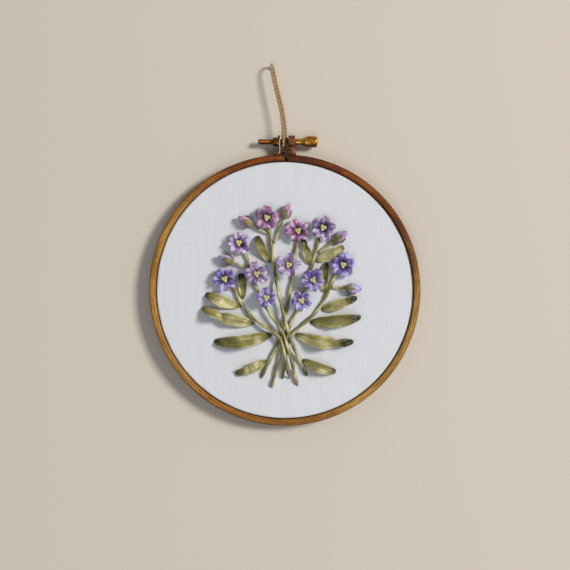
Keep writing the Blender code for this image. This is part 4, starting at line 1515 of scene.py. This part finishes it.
def woven_cotton(name, hex_colour):
    made, tree, shader = new_material(
        name, Roughness=0.92, Sheen_Weight=0.2, Sheen_Roughness=0.5, Specular_IOR_Level=0.25
    )
    place = add_node(tree, "ShaderNodeTexCoord", {}).outputs["Object"]
    threads = []
    slubs = []
    for direction, sizes in (("X", (1.0, 0.02, 1.0)), ("Y", (0.02, 1.0, 1.0))):
        inputs = {"Vector": place, "Scale": WAVE_RUN / WEAVE, "Distortion": 0.4, "Detail": 1.0}
        wave = add_node(tree, "ShaderNodeTexWave", inputs, bands_direction=direction)
        threads.append(wave.outputs["Fac"])
        drawn = add_node(tree, "ShaderNodeVectorMath", {0: place, 1: sizes}, operation="MULTIPLY")
        inputs = {"Vector": drawn.outputs[0], "Scale": 1 / (1.1 * MM), "Detail": 2.0}
        slubs.append(add_node(tree, "ShaderNodeTexNoise", inputs).outputs[0])
    weave = add_node(tree, "ShaderNodeMath", {0: threads[0], 1: threads[1]}, operation="MULTIPLY").outputs[0]
    slub = add_node(
        tree, "ShaderNodeMath", {0: slubs[1], 1: 0.3, 2: slubs[0]}, operation="MULTIPLY_ADD"
    ).outputs[0]
    tone = add_node(
        tree,
        "ShaderNodeMapRange",
        {"Value": slub, "From Min": 0.45, "From Max": 0.85, "To Min": 0.975, "To Max": 1.0},
    ).outputs[0]
    colour = add_node(
        tree, "ShaderNodeVectorMath", {0: linear(hex_colour)[:3], "Scale": tone}, operation="SCALE"
    ).outputs[0]
    height = add_node(tree, "ShaderNodeMath", {0: weave, 1: slub}, operation="ADD").outputs[0]
    bump = add_node(tree, "ShaderNodeBump", {"Strength": 0.18, "Distance": 0.05 * MM, "Height": height})
    tree.links.new(colour, shader.inputs["Base Color"])
    tree.links.new(bump.outputs[0], shader.inputs["Normal"])
    return made


COTTON = woven_cotton("cotton, plain weave", "#CDD1D9")

# %% [markdown]
# ## The cloth in the hoop
#
# The cloth was cut round, laid over the inner ring and pressed down between the rings, which leaves it tight
# as a drum. Its profile is turned with spin: flat to the shoulder, over it, and down to the trimmed edge. It
# is then pulled in a little wherever a stitch goes through, and drawn into very slight folds near the ring. It
# was cut to a circle of about 141 mm: the length of the profile, from edge to edge.

# %% Cloth
CLOTH_SHOULDER = 0.7
STITCH_PULL = 0.22
STITCH_REACH = 1.6
RIM_FOLD = 0.07


def pulled(x, y):
    """How far the cloth's face moves at a place, from the stitches and the pull of the ring."""
    dip = sum(math.exp(-((x - s.x) ** 2 + (y - s.y) ** 2) / STITCH_REACH**2) for s in STITCHES)
    rim = ease((math.hypot(x, y) / CLOTH_RADIUS - 0.72) / 0.28)
    angle = math.atan2(y, x)
    folds = math.sin(31 * angle + 2 * math.sin(5 * angle)) * RIM_FOLD * rim
    return folds - STITCH_PULL * min(dip, 1.2)


bm = bmesh.new()
profile = [(0.0, CLOTH_TOP), (CLOTH_RADIUS - CLOTH_SHOULDER, CLOTH_TOP)]
for step in range(1, 6):
    angle = math.pi / 2 * (1 - step / 5)
    x = CLOTH_RADIUS - CLOTH_SHOULDER + CLOTH_SHOULDER * math.cos(angle)
    profile.append((x, CLOTH_TOP - CLOTH_SHOULDER + CLOTH_SHOULDER * math.sin(angle)))
profile.append((CLOTH_RADIUS, CLOTH_EDGE))
line = [bm.verts.new((x, 0.0, z)) for x, z in profile]
edges = [bm.edges.new(pair) for pair in zip(line, line[1:])]
bmesh.ops.subdivide_edges(bm, edges=edges[:1], cuts=80)
spin_ring(bm, 0.0, math.tau, 240, True)
bmesh.ops.remove_doubles(bm, verts=bm.verts, dist=0.001)
for vert in bm.verts:
    if vert.co.z > CLOTH_TOP - 0.01:
        vert.co.z += pulled(vert.co.x, vert.co.y)
bmesh.ops.recalc_face_normals(bm, faces=bm.faces)
bm.faces.ensure_lookup_table()
if sum(face.normal.z for face in bm.faces) < 0:
    bmesh.ops.reverse_faces(bm, faces=bm.faces)
cloth = add_piece("cloth_sheet", bm, [COTTON], "cotton_cloth", ["cloth"])
give_thickness(cloth, CLOTH_THICKNESS, -1.0)
